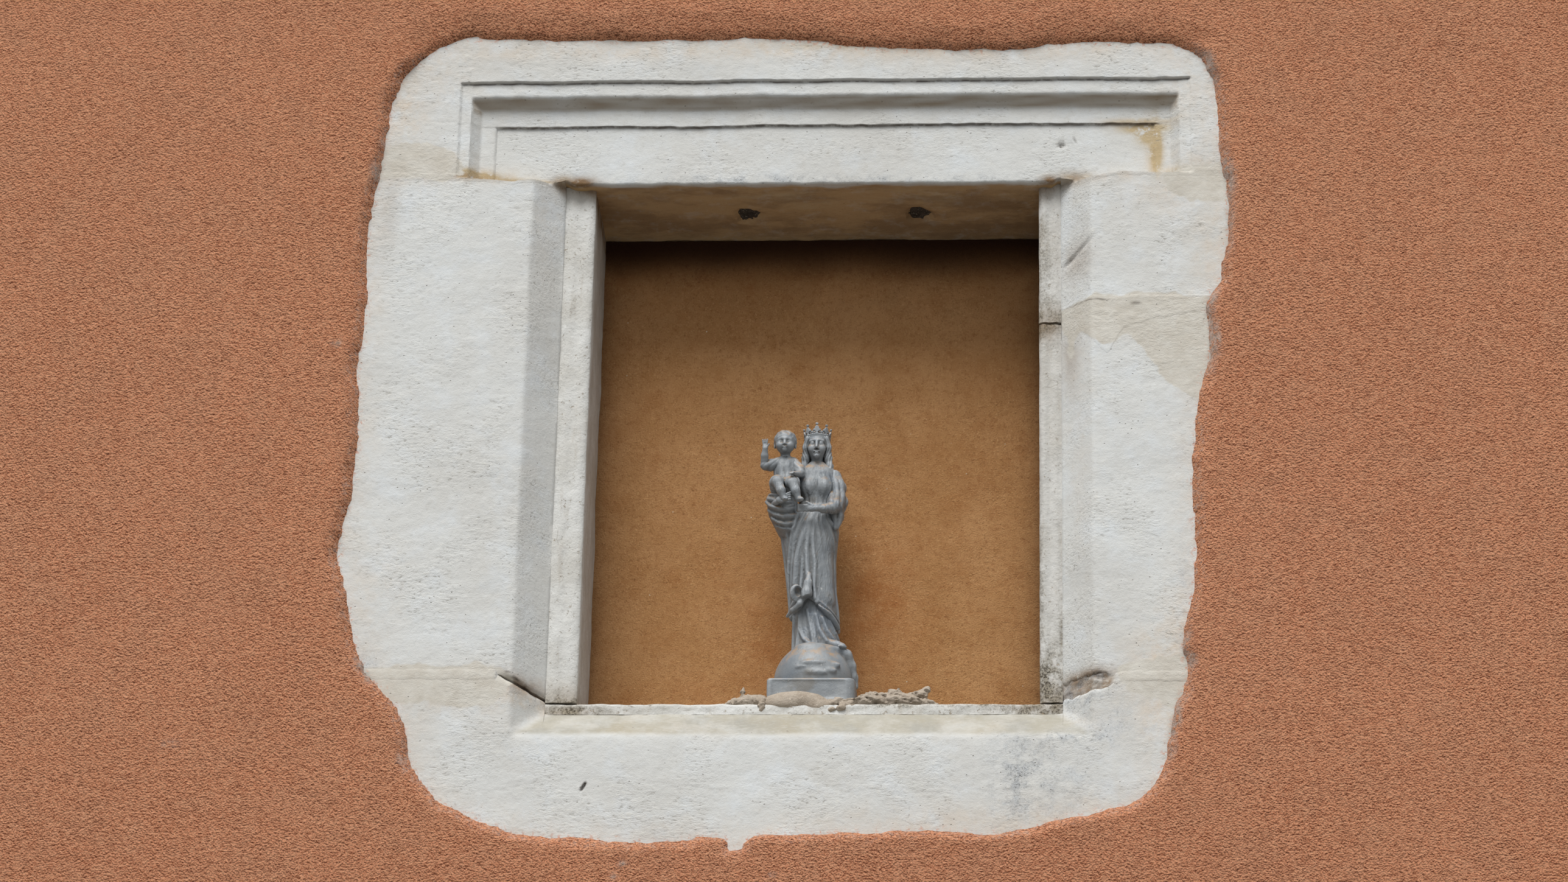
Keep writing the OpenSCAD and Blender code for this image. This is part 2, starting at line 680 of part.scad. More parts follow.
masonry_left();
masonry_right();
masonry_above();
masonry_below();
window_blocking();
render_left();
render_right();
render_above();
render_below();
rear_render();
lintel();
left_jamb();
right_jamb_upper();
right_jamb_lower();
sill_stone();
mortar_lintel_left();
mortar_lintel_right();
mortar_jamb_right();
mortar_sill_left();
mortar_sill_right();
socket_filling_left();
socket_filling_right();
left_lining();
right_lining_upper();
right_lining_lower();
ledge();
niche_plaster();
plinth_block();
half_globe();
mother_gown();
mother_mantle();
mother_head();
mother_crown();
mother_arm_left();
mother_arm_right();
child_body();
child_head();
child_arm_left();
child_arm_right();
bedding_front();
bedding_left();
bedding_right();
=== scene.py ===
import functools
import itertools
import json
import math

import bmesh
import bpy
import numpy as np
from mathutils import Matrix, Vector


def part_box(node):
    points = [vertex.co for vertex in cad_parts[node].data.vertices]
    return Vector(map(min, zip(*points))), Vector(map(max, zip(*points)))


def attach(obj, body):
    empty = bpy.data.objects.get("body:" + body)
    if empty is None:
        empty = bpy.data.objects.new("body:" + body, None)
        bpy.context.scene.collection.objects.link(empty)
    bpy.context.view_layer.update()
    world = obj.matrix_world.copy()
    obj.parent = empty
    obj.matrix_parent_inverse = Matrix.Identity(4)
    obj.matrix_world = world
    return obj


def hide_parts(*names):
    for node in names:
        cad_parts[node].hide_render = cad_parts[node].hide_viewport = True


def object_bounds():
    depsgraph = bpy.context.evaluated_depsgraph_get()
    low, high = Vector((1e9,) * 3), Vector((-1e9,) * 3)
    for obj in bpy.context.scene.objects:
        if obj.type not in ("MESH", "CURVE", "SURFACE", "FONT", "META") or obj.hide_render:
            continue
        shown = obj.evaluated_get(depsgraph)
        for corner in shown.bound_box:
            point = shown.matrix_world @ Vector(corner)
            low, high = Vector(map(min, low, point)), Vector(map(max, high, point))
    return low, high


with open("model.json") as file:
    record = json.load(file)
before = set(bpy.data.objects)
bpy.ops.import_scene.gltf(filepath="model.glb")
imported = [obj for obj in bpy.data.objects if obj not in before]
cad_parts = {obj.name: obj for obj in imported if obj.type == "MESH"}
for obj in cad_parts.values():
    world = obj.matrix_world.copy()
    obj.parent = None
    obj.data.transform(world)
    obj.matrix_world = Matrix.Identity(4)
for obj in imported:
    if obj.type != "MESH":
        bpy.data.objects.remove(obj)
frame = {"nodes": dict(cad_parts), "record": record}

# Lengths in this script are millimetres in the row frame, until a mesh is made of them.

cad_lo, cad_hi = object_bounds()
COARSE = 1.0


def box(node):
    """A node's lowest and highest corner in millimetres."""
    lo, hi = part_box(node)
    return np.array(lo) * 1000, np.array(hi) * 1000


LINTEL_LO, LINTEL_HI = box("lintel")
PLASTER_LO, PLASTER_HI = box("niche_plaster")
LEDGE_LO, LEDGE_HI = box("ledge")
COAT_Y = box("render_left")[0][1]
FACE_Y = LINTEL_LO[1]
STONE_BACK = LINTEL_HI[1]
HALF_W = LEDGE_HI[0]
SEAT_Z = LEDGE_LO[2]
LEDGE_Z = LEDGE_HI[2]
RECESS_Y = LEDGE_LO[1]
CHAMFER = RECESS_Y - FACE_Y
SOFFIT_Z = LINTEL_LO[2]
STONE_LEFT = LINTEL_LO[0]
STONE_RIGHT = LINTEL_HI[0]
BAY_X = cad_hi[0] * 1000
BAY_TOP = cad_hi[2] * 1000


# Camera and light

VIEW_YAW = math.radians(3.5)
VIEW_PITCH = math.radians(24)
VIEW_ROLL = math.radians(1.2)
VIEW_DISTANCE = 7.2
VIEW_AIM = Vector((-0.033, FACE_Y / 1000, 0.740))
FOCAL_PIXELS = 8000
IMAGE_WIDTH = 2576
SENSOR_WIDTH = 36


def make_camera():
    """The view of the photograph: from far off, below and a little to the right."""
    data = bpy.data.cameras.new("camera")
    data.sensor_fit = "HORIZONTAL"
    data.sensor_width = SENSOR_WIDTH
    data.lens = FOCAL_PIXELS / IMAGE_WIDTH * SENSOR_WIDTH
    ahead = Vector((-math.sin(VIEW_YAW) * math.cos(VIEW_PITCH), math.cos(VIEW_YAW) * math.cos(VIEW_PITCH),
                    math.sin(VIEW_PITCH)))
    level = Vector((math.cos(VIEW_YAW), math.sin(VIEW_YAW), 0))
    upright = level.cross(ahead)
    right = math.cos(VIEW_ROLL) * level + math.sin(VIEW_ROLL) * upright
    up = math.cos(VIEW_ROLL) * upright - math.sin(VIEW_ROLL) * level
    place = VIEW_AIM - ahead * VIEW_DISTANCE
    camera = bpy.data.objects.new("camera", data)
    camera.matrix_world = Matrix((
        (right.x, up.x, -ahead.x, place.x),
        (right.y, up.y, -ahead.y, place.y),
        (right.z, up.z, -ahead.z, place.z),
        (0, 0, 0, 1)))
    bpy.context.scene.collection.objects.link(camera)
    bpy.context.scene.camera = camera


SUN_HEIGHT = math.radians(57)
SUN_SIDE = math.radians(-16)
SKY_LIGHT = 0.84
GROUND_LIGHT = 0.22


def make_light():
    """A broad soft lamp from above the camera's left, and a sky that is brighter than the ground."""
    sun = bpy.data.lights.new("soft_sun", "SUN")
    sun.energy = 3.1
    sun.angle = math.radians(34)
    sun.color = (1.0, 0.985, 0.96)
    lamp = bpy.data.objects.new("soft_sun", sun)
    lamp.rotation_euler = (math.pi / 2 - SUN_HEIGHT, 0, SUN_SIDE)
    bpy.context.scene.collection.objects.link(lamp)
    world = bpy.data.worlds.new("sky")
    world.use_nodes = True
    tree = world.node_tree
    background = tree.nodes["Background"]
    background.inputs["Color"].default_value = (0.94, 0.97, 1.0, 1)
    place = tree.nodes.new("ShaderNodeTexCoord")
    part = tree.nodes.new("ShaderNodeSeparateXYZ")
    rise = tree.nodes.new("ShaderNodeMapRange")
    path = tree.nodes.new("ShaderNodeLightPath")
    seen = tree.nodes.new("ShaderNodeMix")
    for socket, value in zip(list(rise.inputs)[1:5], (-0.1, 0.35, GROUND_LIGHT, SKY_LIGHT)):
        socket.default_value = value
    seen.inputs[3].default_value = 0.9
    tree.links.new(place.outputs["Generated"], part.inputs[0])
    tree.links.new(part.outputs[2], rise.inputs[0])
    tree.links.new(path.outputs["Is Camera Ray"], seen.inputs[0])
    tree.links.new(rise.outputs[0], seen.inputs[2])
    tree.links.new(seen.outputs[0], background.inputs["Strength"])
    bpy.context.scene.world = world
    bpy.context.scene.view_settings.view_transform = "Standard"


# Noise

def hashed(seed, cells):
    """A repeatable number from -1 to 1 for every whole point."""
    h = np.full(cells[0].shape, seed * 747796405 % 4294967291, np.uint64)
    for cell, prime in zip(cells, (2654435761, 2246822519, 3266489917)):
        h = (h ^ (cell.astype(np.uint64) * np.uint64(prime))) & np.uint64(0xFFFFFFFF)
        h = ((h ^ (h >> np.uint64(15))) * np.uint64(2246822519)) & np.uint64(0xFFFFFFFF)
        h = ((h ^ (h >> np.uint64(13))) * np.uint64(3266489917)) & np.uint64(0xFFFFFFFF)
    return (h ^ (h >> np.uint64(16))).astype(float) / 2147483648 - 1


def wave(seed, *axes):
    """Gradient noise of about -1 to 1 on a unit lattice."""
    axes = np.broadcast_arrays(*axes)
    base = [np.floor(a).astype(np.int64) for a in axes]
    part = [a - b for a, b in zip(axes, base)]
    ease = [t * t * t * (t * (t * 6 - 15) + 10) for t in part]
    total = 0
    for corner in itertools.product((0, 1), repeat=len(axes)):
        cells = [b + c for b, c in zip(base, corner)]
        weight = 1
        slope = 0
        for k, c in enumerate(corner):
            weight = weight * (ease[k] if c else 1 - ease[k])
            slope = slope + hashed(seed + 101 * k, cells) * (part[k] - c)
        total = total + weight * slope
    return total * 1.5


def smooth(t):
    """An eased step from 0 to 1."""
    t = np.clip(t, 0, 1)
    return t * t * (3 - 2 * t)


def soft_ramp(t, softness):
    """A ramp that starts at 0 with a rounded corner."""
    return 0.5 * (t + np.sqrt(t * t + softness * softness))


def blob(x, z, places):
    """Soft spots: X, Z, half width, half height, strength."""
    total = np.zeros(np.broadcast(x, z).shape)
    for cx, cz, rx, rz, strength in places:
        total = np.maximum(total, strength * np.exp(-((x - cx) / rx) ** 2 - ((z - cz) / rz) ** 2))
    return total


def cuts(x, z, places):
    """Long narrow dents: X, Z, half length, half width, slant in degrees, depth."""
    total = np.zeros(np.broadcast(x, z).shape)
    for cx, cz, length, width, slant, depth in places:
        c = math.cos(math.radians(slant))
        s = math.sin(math.radians(slant))
        along = (x - cx) * c + (z - cz) * s
        across = (z - cz) * c - (x - cx) * s
        total = total + depth * np.exp(-(along / length) ** 4 - (across / width) ** 2)
    return total


# Outlines

def smooth_loop(points, parts):
    """The closed curve through the points that part.scad draws, with every span in so many parts."""
    p = np.array(points, float)
    before, after, beyond = np.roll(p, 1, 0), np.roll(p, -1, 0), np.roll(p, -2, 0)
    rows = []
    for k in range(parts):
        t = k / parts
        rows.append(0.5 * (2 * p + (after - before) * t + (2 * before - 5 * p + 4 * after - beyond) * t * t
                           + (3 * p - before - 3 * after + beyond) * t ** 3))
    return np.stack(rows, 1).reshape(-1, 2)


def outside(x, z, loop):
    """Distance to a closed outline, negative within it."""
    nearest = np.full(x.shape, 1e9)
    within = np.zeros(x.shape, bool)
    for (ax, az), (bx, bz) in zip(loop, np.roll(loop, -1, axis=0)):
        dx, dz = bx - ax, bz - az
        t = np.clip(((x - ax) * dx + (z - az) * dz) / (dx * dx + dz * dz), 0, 1)
        nearest = np.minimum(nearest, (x - ax - t * dx) ** 2 + (z - az - t * dz) ** 2)
        if dz:
            within ^= ((az > z) != (bz > z)) & (x < ax + (z - az) * dx / dz)
    return np.where(within, -1, 1) * np.sqrt(nearest)


RENDER_EDGE = smooth_loop([
    (-655, 1265), (-645, 1330), (-605, 1390), (-540, 1424), (-425, 1421), (-290, 1420), (-165, 1419),
    (-35, 1417), (75, 1405), (185, 1399), (300, 1399), (395, 1408), (515, 1407), (575, 1395),
    (610, 1350), (620, 1290), (620, 1230), (630, 1160), (630, 1090), (620, 1005), (598, 965),
    (602, 895), (585, 815), (578, 740), (572, 670), (575, 600), (570, 500), (553, 415), (560, 375),
    (536, 292), (520, 225), (490, 176), (380, 145), (278, 123), (180, 128), (70, 123), (-60, 121),
    (-79, 100), (-104, 100), (-116, 118), (-210, 109), (-330, 117), (-425, 127), (-520, 173),
    (-565, 230), (-590, 315), (-650, 390), (-675, 500), (-690, 565), (-675, 680), (-672, 770),
    (-679, 865), (-670, 950), (-676, 1075), (-662, 1190)], 4)


# Meshes

def make_piece(name, points, faces, replaced, slot, crease=50, **fields):
    """A closed piece that stands for CAD nodes, with a number for each point in every named field."""
    mesh = bpy.data.meshes.new(name)
    mesh.from_pydata((points / 1000).tolist(), [], faces)
    shape = bmesh.new()
    shape.from_mesh(mesh)
    bmesh.ops.recalc_face_normals(shape, faces=shape.faces)
    shape.to_mesh(mesh)
    shape.free()
    mesh.shade_smooth()
    mesh.set_sharp_from_angle(angle=math.radians(crease))
    for field, values in fields.items():
        layer = mesh.attributes.new(field, "FLOAT", "POINT")
        layer.data.foreach_set("value", np.ascontiguousarray(values, np.float32).ravel())
    mesh.materials.append(FINISHES[slot])
    piece = bpy.data.objects.new(name, mesh)
    bpy.context.scene.collection.objects.link(piece)
    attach(piece, "root")
    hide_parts(*replaced)
    return piece


def tube_faces(sections, ring):
    """Quads round closed sections of equal length, and a cap at each end."""
    i, j = np.meshgrid(np.arange(sections - 1), np.arange(ring), indexing="ij")
    a = i * ring + j
    b = i * ring + (j + 1) % ring
    quads = np.stack([a, b, b + ring, a + ring], -1).reshape(-1, 4).tolist()
    return quads + [list(range(ring)), list(range((sections - 1) * ring, sections * ring))]


def steps(*stops):
    """Places from stop to stop, each pair of stops with the spacing named between them."""
    places = [stops[0]]
    for k in range(1, len(stops) - 1, 2):
        spacing, end = stops[k] * COARSE, stops[k + 1]
        count = max(1, round(abs(end - places[-1]) / spacing))
        places.extend(np.linspace(places[-1], end, count + 1)[1:])
    return np.array(places, float)


def panel(name, xs, low, high, rows, front, back, replaced, slot, fields, axes=(0, 1, 2), shelf=None):
    """A slab whose front is a relief over X and Z, between a low and a high edge that follow X."""
    x = np.repeat(xs[:, None], len(rows), 1)
    z = low[:, None] + (high - low)[:, None] * rows[None, :]
    if shelf is not None:
        bend = rows[None, :] * (high[:, None] - low[:, None]).max() + low[:, None]
        share = (bend - shelf) / (bend[0, -1] - shelf)
        z = np.where(bend < shelf, bend, shelf + share * (high[:, None] - shelf))
    ends = np.stack([np.stack([xs, np.full(len(xs), back), edge], -1) for edge in (high, low)], 1)
    points = np.concatenate([np.stack([x, front(x, z), z], -1), ends], 1)
    spread = {k: np.concatenate([v, v[:, -1:], v[:, :1]], 1) for k, v in fields(x, z).items()}
    points = points[..., list(axes)].reshape(-1, 3)
    return make_piece(name, points, tube_faces(len(xs), len(rows) + 2), replaced, slot, **spread)


def masked_slab(name, keep, x, y, z, back, replaced, slot, **fields):
    """A slab from the kept cells of a grid of front points, closed by walls and a flat back."""
    ids = np.arange(x.size).reshape(x.shape)
    quads = np.stack([ids[:-1, :-1], ids[1:, :-1], ids[1:, 1:], ids[:-1, 1:]], -1)[keep]
    edges = np.concatenate([quads[:, [k, (k + 1) % 4]] for k in range(4)])
    codes = edges[:, 0] * x.size + edges[:, 1]
    reverse = edges[:, 1] * x.size + edges[:, 0]
    rim = edges[~np.isin(reverse, codes)]
    after = dict(rim.tolist())
    used = np.unique(quads)
    renumber = np.full(x.size, -1)
    renumber[used] = np.arange(len(used))
    points = np.stack([x.ravel()[used], y.ravel()[used], z.ravel()[used]], -1)
    faces = renumber[quads].tolist()
    count = len(used)
    sources = []
    while after:
        start = next(iter(after))
        ring = [start]
        while after[ring[-1]] != start:
            ring.append(after.pop(ring[-1]))
        after.pop(ring[-1])
        m = len(ring)
        base = count + len(sources)
        for k in range(m):
            a, b = renumber[ring[k]], renumber[ring[(k + 1) % m]]
            faces.append([b, a, base + k, base + (k + 1) % m])
        faces.append([base + k for k in range(m)])
        sources.extend(ring)
    sources = np.array(sources)
    hidden = np.stack([x.ravel()[sources], np.full(len(sources), back), z.ravel()[sources]], -1)
    order = np.concatenate([used, sources])
    return make_piece(name, np.concatenate([points, hidden]), faces, replaced, slot,
                      **{k: v.ravel()[order] for k, v in fields.items()})


# Materials

def rgb(r, g, b):
    """Linear colour from eight-bit values."""
    shares = (r / 255, g / 255, b / 255)
    return tuple(((c + 0.055) / 1.055) ** 2.4 if c > 10 / 255 else c / 12.92 for c in shares) + (1.0,)


class Finish:
    """Builds the nodes of one material; any input takes a number, a colour or another node's output."""

    def __init__(self, name):
        self.material = bpy.data.materials.new(name)
        self.material.use_nodes = True
        self.tree = self.material.node_tree
        self.tree.nodes.clear()
        self.place = self.add("ShaderNodeTexCoord").outputs["Object"]
        self.normal = None

    def add(self, kind, feeds=None, **settings):
        """A new node, with a value or a link for each input that is named."""
        node = self.tree.nodes.new(kind)
        for key, value in settings.items():
            setattr(node, key, value)
        for key, value in (feeds or {}).items():
            socket = node.inputs[key]
            if isinstance(value, bpy.types.NodeSocket):
                self.tree.links.new(value, socket)
            else:
                socket.default_value = value
        return node

    def math(self, operation, a, b=0.0, clamp=False):
        return self.add("ShaderNodeMath", {0: a, 1: b}, operation=operation, use_clamp=clamp).outputs[0]

    def ramp(self, value, low, high, start=0.0, end=1.0):
        feeds = {0: value, 1: low, 2: high, 3: start, 4: end}
        return self.add("ShaderNodeMapRange", feeds, interpolation_type="SMOOTHSTEP").outputs[0]

    def mix(self, factor, a, b):
        return self.add("ShaderNodeMix", {0: factor, 6: a, 7: b}, data_type="RGBA").outputs[2]

    def stretched(self, x, y, z):
        return self.add("ShaderNodeMapping", {"Vector": self.place, "Scale": (x, y, z)}).outputs[0]

    def shifted(self, where, x, y, z):
        return self.add("ShaderNodeMapping", {"Vector": where, "Location": (x, y, z)}).outputs[0]

    def noise(self, scale, detail=3.0, rough=0.55, where=None, twist=0.0):
        feeds = {"Vector": where or self.place, "Scale": scale, "Detail": detail, "Roughness": rough,
                 "Distortion": twist}
        return self.add("ShaderNodeTexNoise", feeds).outputs[0]

    def cells(self, scale, where=None, feature="F1"):
        feeds = {"Vector": where or self.place, "Scale": scale}
        return self.add("ShaderNodeTexVoronoi", feeds, feature=feature).outputs[0]

    def field(self, name):
        return self.add("ShaderNodeAttribute", attribute_name=name).outputs["Fac"]

    def times(self, a, b, clamp=False):
        return self.math("MULTIPLY", a, b, clamp)

    def spots(self, scale, detail, rough, *span, where=None):
        """Noise between two levels, and what they give if that isn't 0 and 1."""
        return self.ramp(self.noise(scale, detail, rough, where), *span)

    def broken(self, name, spots):
        """A field of the mesh, broken up by spots."""
        return self.times(self.field(name), spots, True)

    def coat(self, factor, first, second):
        """The colour to begin with, between two."""
        self.colour = self.mix(factor, rgb(*first), rgb(*second))

    def over(self, factor, colour, strength=None):
        """Lays a colour over those before it."""
        if strength is not None:
            factor = self.times(factor, strength)
        self.colour = self.mix(factor, self.colour, rgb(*colour) if isinstance(colour, tuple) else colour)

    def bump(self, value, distance, strength=1.0):
        """Relief on top of the relief before it."""
        feeds = {"Height": value, "Distance": distance, "Strength": strength}
        if self.normal:
            feeds["Normal"] = self.normal
        self.normal = self.add("ShaderNodeBump", feeds).outputs[0]

    def done(self, roughness, specular):
        """Ends the material with its shader."""
        feeds = {"Base Color": self.colour, "Roughness": roughness, "Normal": self.normal}
        shader = self.add("ShaderNodeBsdfPrincipled", feeds)
        shader.inputs["Specular IOR Level"].default_value = specular
        self.add("ShaderNodeOutputMaterial", {"Surface": shader.outputs[0]})
        return self.material


def roughcast_finish():
    """Thrown plaster: grains with painted light on their tops and painted shade below them, painted shade in
    the deep pits, with bare cement and a whitened rim.
    """
    f = Finish("roughcast")
    wide = f.stretched(0.9, 1, 1)
    above = f.shifted(wide, 0, 0, 0.001)
    heaps, heaps_above = [f.noise(230, 3, 0.6, where, 0.3) for where in (wide, above)]
    grain, grain_above = [f.noise(560, 4, 0.72, where, 0.4) for where in (wide, above)]
    clumps = f.noise(200, 4, 0.75, wide, 0.4)
    sand = f.noise(1000, 2, 0.6)
    # How far each grain faces up, which paints light on the grains' tops and shade under them.
    painted_grain_shading = f.math("SUBTRACT", grain, grain_above)
    painted_grain_shading = f.math("ADD", painted_grain_shading, f.times(f.math("SUBTRACT", heaps, heaps_above), 0.5))
    painted_grain_shading = f.math("ADD", painted_grain_shading, f.times(f.math("SUBTRACT", f.cells(300, above), f.cells(300, wide)), 0.5))
    f.coat(f.spots(4, 4, 0.6, 0.35, 0.65), (238, 149, 107), (222, 132, 91))
    f.over(f.spots(19, 3, 0.6, 0.4, 0.7, 0, 0.6), (206, 142, 110))
    # Painted highlight on the grains' upper sides, and painted shadow under them.
    f.over(f.ramp(painted_grain_shading, 0.01, 0.08, 0, 0.95), (255, 188, 146))
    f.over(f.ramp(painted_grain_shading, -0.1, -0.02, 1, 0), (88, 36, 18))
    # Painted shade in the deepest pits of the coat.
    f.over(f.ramp(f.field("pit"), 0.6, 1.0, 0, 0.2), (132, 82, 60))
    f.over(f.ramp(sand, 0.52, 0.62, 0, 0.7), (250, 184, 142))
    f.over(f.ramp(sand, 0.46, 0.36, 0, 0.65), (92, 42, 22))
    f.over(f.ramp(clumps, 0.5, 0.34, 0, 0.3), (112, 56, 34))
    f.over(f.ramp(clumps, 0.46, 0.64, 0, 0.4), (255, 192, 152))
    cement = f.mix(f.spots(120, 4, 0.7, 0.4, 0.6), rgb(218, 204, 194), rgb(160, 148, 138))
    f.over(f.broken("bare", f.spots(80, 5, 0.75, 0.4, 0.54)), cement, 0.75)
    f.over(f.broken("rim", f.spots(150, 5, 0.75, 0.52, 0.58)), (214, 204, 196), 0.35)
    f.bump(f.math("ADD", f.times(heaps, 0.4), f.times(grain, 0.6)), 0.0075)
    f.bump(sand, 0.0010, 0.8)
    return f.done(0.92, 0.15)


def whitewash_finish(name):
    """Coats of whitewash with stains, rust, mould, grime with painted shade, painted shadow lines in gaps and
    under mouldings, painted shade on the cavetto and the sill's splay, the bare soffit and grains at the rim.
    """
    f = Finish(name)
    strokes = f.noise(260, 4, 0.65, f.stretched(0.45, 1, 1), 0.2)
    zone = f.spots(9, 4, 0.6, 0.44, 0.62, 0.25, 1)
    f.coat(f.spots(4, 4, 0.6, 0.35, 0.7), (208, 209, 207), (201, 200, 196))
    f.over(f.spots(17, 4, 0.6, 0.45, 0.75, 0, 0.6), (212, 217, 221))
    f.over(f.spots(60, 4, 0.65, 0.55, 0.75, 0, 0.3), (192, 188, 180))
    f.over(f.broken("stain", f.spots(30, 5, 0.7, 0.3, 0.66)), (206, 184, 158), 0.62)
    f.over(f.broken("rust", f.spots(70, 5, 0.7, 0.32, 0.5)), (178, 154, 108), 0.8)
    f.over(f.broken("grime", f.spots(48, 5, 0.7, 0.25, 0.6, 0.5, 1)), (128, 100, 68))
    f.over(f.times(f.ramp(strokes, 0.3, 0.44, 0.7, 0), zone), (140, 136, 128))
    f.over(f.times(f.ramp(strokes, 0.56, 0.68, 0, 0.5), zone), (216, 214, 206))
    f.over(f.field("shade"), (140, 122, 98), 0.95)
    patchy = f.mix(f.spots(26, 5, 0.7, 0.35, 0.65), rgb(203, 199, 190), rgb(193, 187, 176))
    f.over(f.ramp(f.field("patch"), 0.35, 0.75), patchy)
    mould = f.broken("lichen", f.spots(34, 6, 0.75, 0.42, 0.62))
    f.over(mould, (146, 151, 157), 0.6)
    f.over(f.times(mould, f.spots(300, 4, 0.8, 0.52, 0.6), True), (60, 56, 50), 0.8)
    # Painted shadow lines under the mouldings' edges, and painted shade in the slit, the dents and the
    # cracks.
    f.over(f.broken("line", f.spots(60, 4, 0.7, 0.3, 0.55, 0.3, 1)), (58, 44, 32))
    tiny = f.times(f.ramp(f.cells(105), 0.13, 0.05), f.spots(31, 2, 0.55, 0.52, 0.6), True)
    f.over(tiny, (126, 116, 102), 0.4)
    f.over(f.field("bare"), (160, 154, 146), 0.7)
    clouds = f.spots(14, 6, 0.7, 0.4, 0.6, where=f.stretched(0.4, 1, 1))
    olive = f.mix(clouds, rgb(186, 154, 110), rgb(150, 119, 80))
    streaks = f.spots(11, 6, 0.75, 0.5, 0.7, 0, 0.5, where=f.stretched(0.2, 0.8, 1))
    olive = f.mix(streaks, olive, rgb(202, 186, 154))
    f.over(f.broken("under", f.spots(34, 5, 0.7, 0.3, 0.5, 0.75, 1)), olive)
    # Painted shade on the sill's splay: a dimmer cream where it faces up into the light.
    splay_shade_colour = f.mix(f.spots(16, 4, 0.6, 0.4, 0.66), rgb(164, 159, 146), rgb(156, 153, 144))
    splay_shade_colour = f.mix(f.spots(7, 3, 0.6, 0.5, 0.66, 0, 0.5), splay_shade_colour, rgb(164, 154, 134))
    splay_shade_colour = f.mix(f.ramp(strokes, 0.5, 0.64, 0, 0.5), splay_shade_colour, rgb(174, 171, 162))
    f.over(f.broken("dull", f.spots(13, 5, 0.7, 0.32, 0.6, 0.6, 1)), splay_shade_colour)
    f.over(f.broken("rim", f.spots(170, 4, 0.75, 0.55, 0.6)), (196, 134, 106), 0.85)
    f.bump(f.math("SUBTRACT", f.times(strokes, zone), tiny), 0.0016, 0.8)
    f.bump(f.noise(900, 2, 0.6), 0.0004, 0.8)
    f.bump(f.noise(110, 5, 0.65), 0.0014, 0.6)
    return f.done(0.8, 0.25)


def plaster_finish():
    """Ochre plaster with orange and grey zones, and zones darkened by soot and painted shade."""
    f = Finish("ochre_plaster")
    patch = f.noise(24, 5, 0.65)
    mottle = f.noise(150, 5, 0.7)
    grain = f.noise(420, 3, 0.7)
    f.coat(f.spots(7, 5, 0.62, 0.35, 0.65), (182, 137, 92), (170, 125, 80))
    f.over(f.ramp(patch, 0.45, 0.72, 0, 0.5), (156, 106, 62))
    f.over(f.spots(90, 4, 0.7, 0.5, 0.72, 0, 0.5), (140, 90, 52))
    f.over(f.times(f.field("orange"), f.ramp(patch, 0.3, 0.6, 0.4, 1)), (156, 96, 48))
    f.over(f.times(f.field("grey"), f.spots(20, 5, 0.7, 0.35, 0.7, 0, 0.45)), (128, 108, 80))
    f.over(f.times(f.ramp(f.cells(38), 0.05, 0.03), f.spots(13, 2, 0.55, 0.5, 0.6), True), (214, 200, 178))
    f.over(f.ramp(mottle, 0.54, 0.68, 0, 0.35), (196, 152, 104))
    f.over(f.ramp(mottle, 0.45, 0.32, 0, 0.4), (136, 86, 46))
    f.over(f.ramp(grain, 0.58, 0.68, 0, 0.5), (212, 172, 124))
    f.over(f.ramp(grain, 0.43, 0.32, 0, 0.55), (104, 66, 38))
    # Soot and painted shade under the lintel and at the sides.
    f.over(f.field("soot"), (50, 28, 16))
    f.bump(grain, 0.0018, 0.9)
    f.bump(mottle, 0.0016, 0.6)
    f.bump(patch, 0.004, 0.4)
    return f.done(0.9, 0.2)


def lining_finish():
    """Thin whitewash over plaster: grimy with painted shade, overgrown, chipped and cracked."""
    f = Finish("lining_plaster")
    f.coat(f.spots(14, 4, 0.6, 0.35, 0.7), (212, 212, 209), (200, 198, 192))
    f.over(f.spots(60, 4, 0.65, 0.54, 0.74, 0, 0.5, where=f.stretched(1, 1, 0.18)), (176, 168, 156))
    f.over(f.broken("grime", f.spots(40, 5, 0.7, 0.3, 0.62, 0.55, 1)), (128, 104, 76))
    crust = f.broken("lichen", f.spots(52, 6, 0.75, 0.38, 0.56))
    f.over(crust, (136, 126, 104), 0.7)
    f.over(f.times(crust, f.spots(300, 4, 0.8, 0.46, 0.56), True), (56, 48, 38), 0.9)
    chips = f.spots(130, 5, 0.75, 0.62, 0.65)
    f.over(chips, (158, 140, 114), 0.6)
    cracks = f.ramp(f.cells(34, f.stretched(1, 1, 1.6), "DISTANCE_TO_EDGE"), 0.03, 0.0)
    f.over(f.times(cracks, f.spots(23, 4, 0.7, 0.57, 0.65), True), (128, 120, 108), 0.6)
    f.bump(f.math("SUBTRACT", f.noise(160, 5, 0.7), f.times(chips, 0.4)), 0.002, 0.8)
    return f.done(0.85, 0.2)


def mortar_finish(name, light, dark, pitted, relief):
    """Sandy mortar, with painted shade in its creases and folds."""
    f = Finish(name)
    f.coat(f.spots(40, 5, 0.65, 0.35, 0.65), light, dark)
    f.over(f.spots(500, 2, 0.6, 0.6, 0.72, 0, 0.5), (226, 216, 200))
    f.over(f.spots(190, 4, 0.7, 0.36, 0.24, 0, pitted), (84, 72, 60))
    # Painted shade in the creases and folds.
    f.over(f.field("crease"), (52, 42, 34), 0.9)
    f.over(f.field("fold"), (96, 82, 68), 0.45)
    f.bump(f.noise(170, 5, 0.7), relief, 0.8)
    f.bump(f.noise(800, 2), relief / 5, 0.6)
    return f.done(0.9, 0.15)


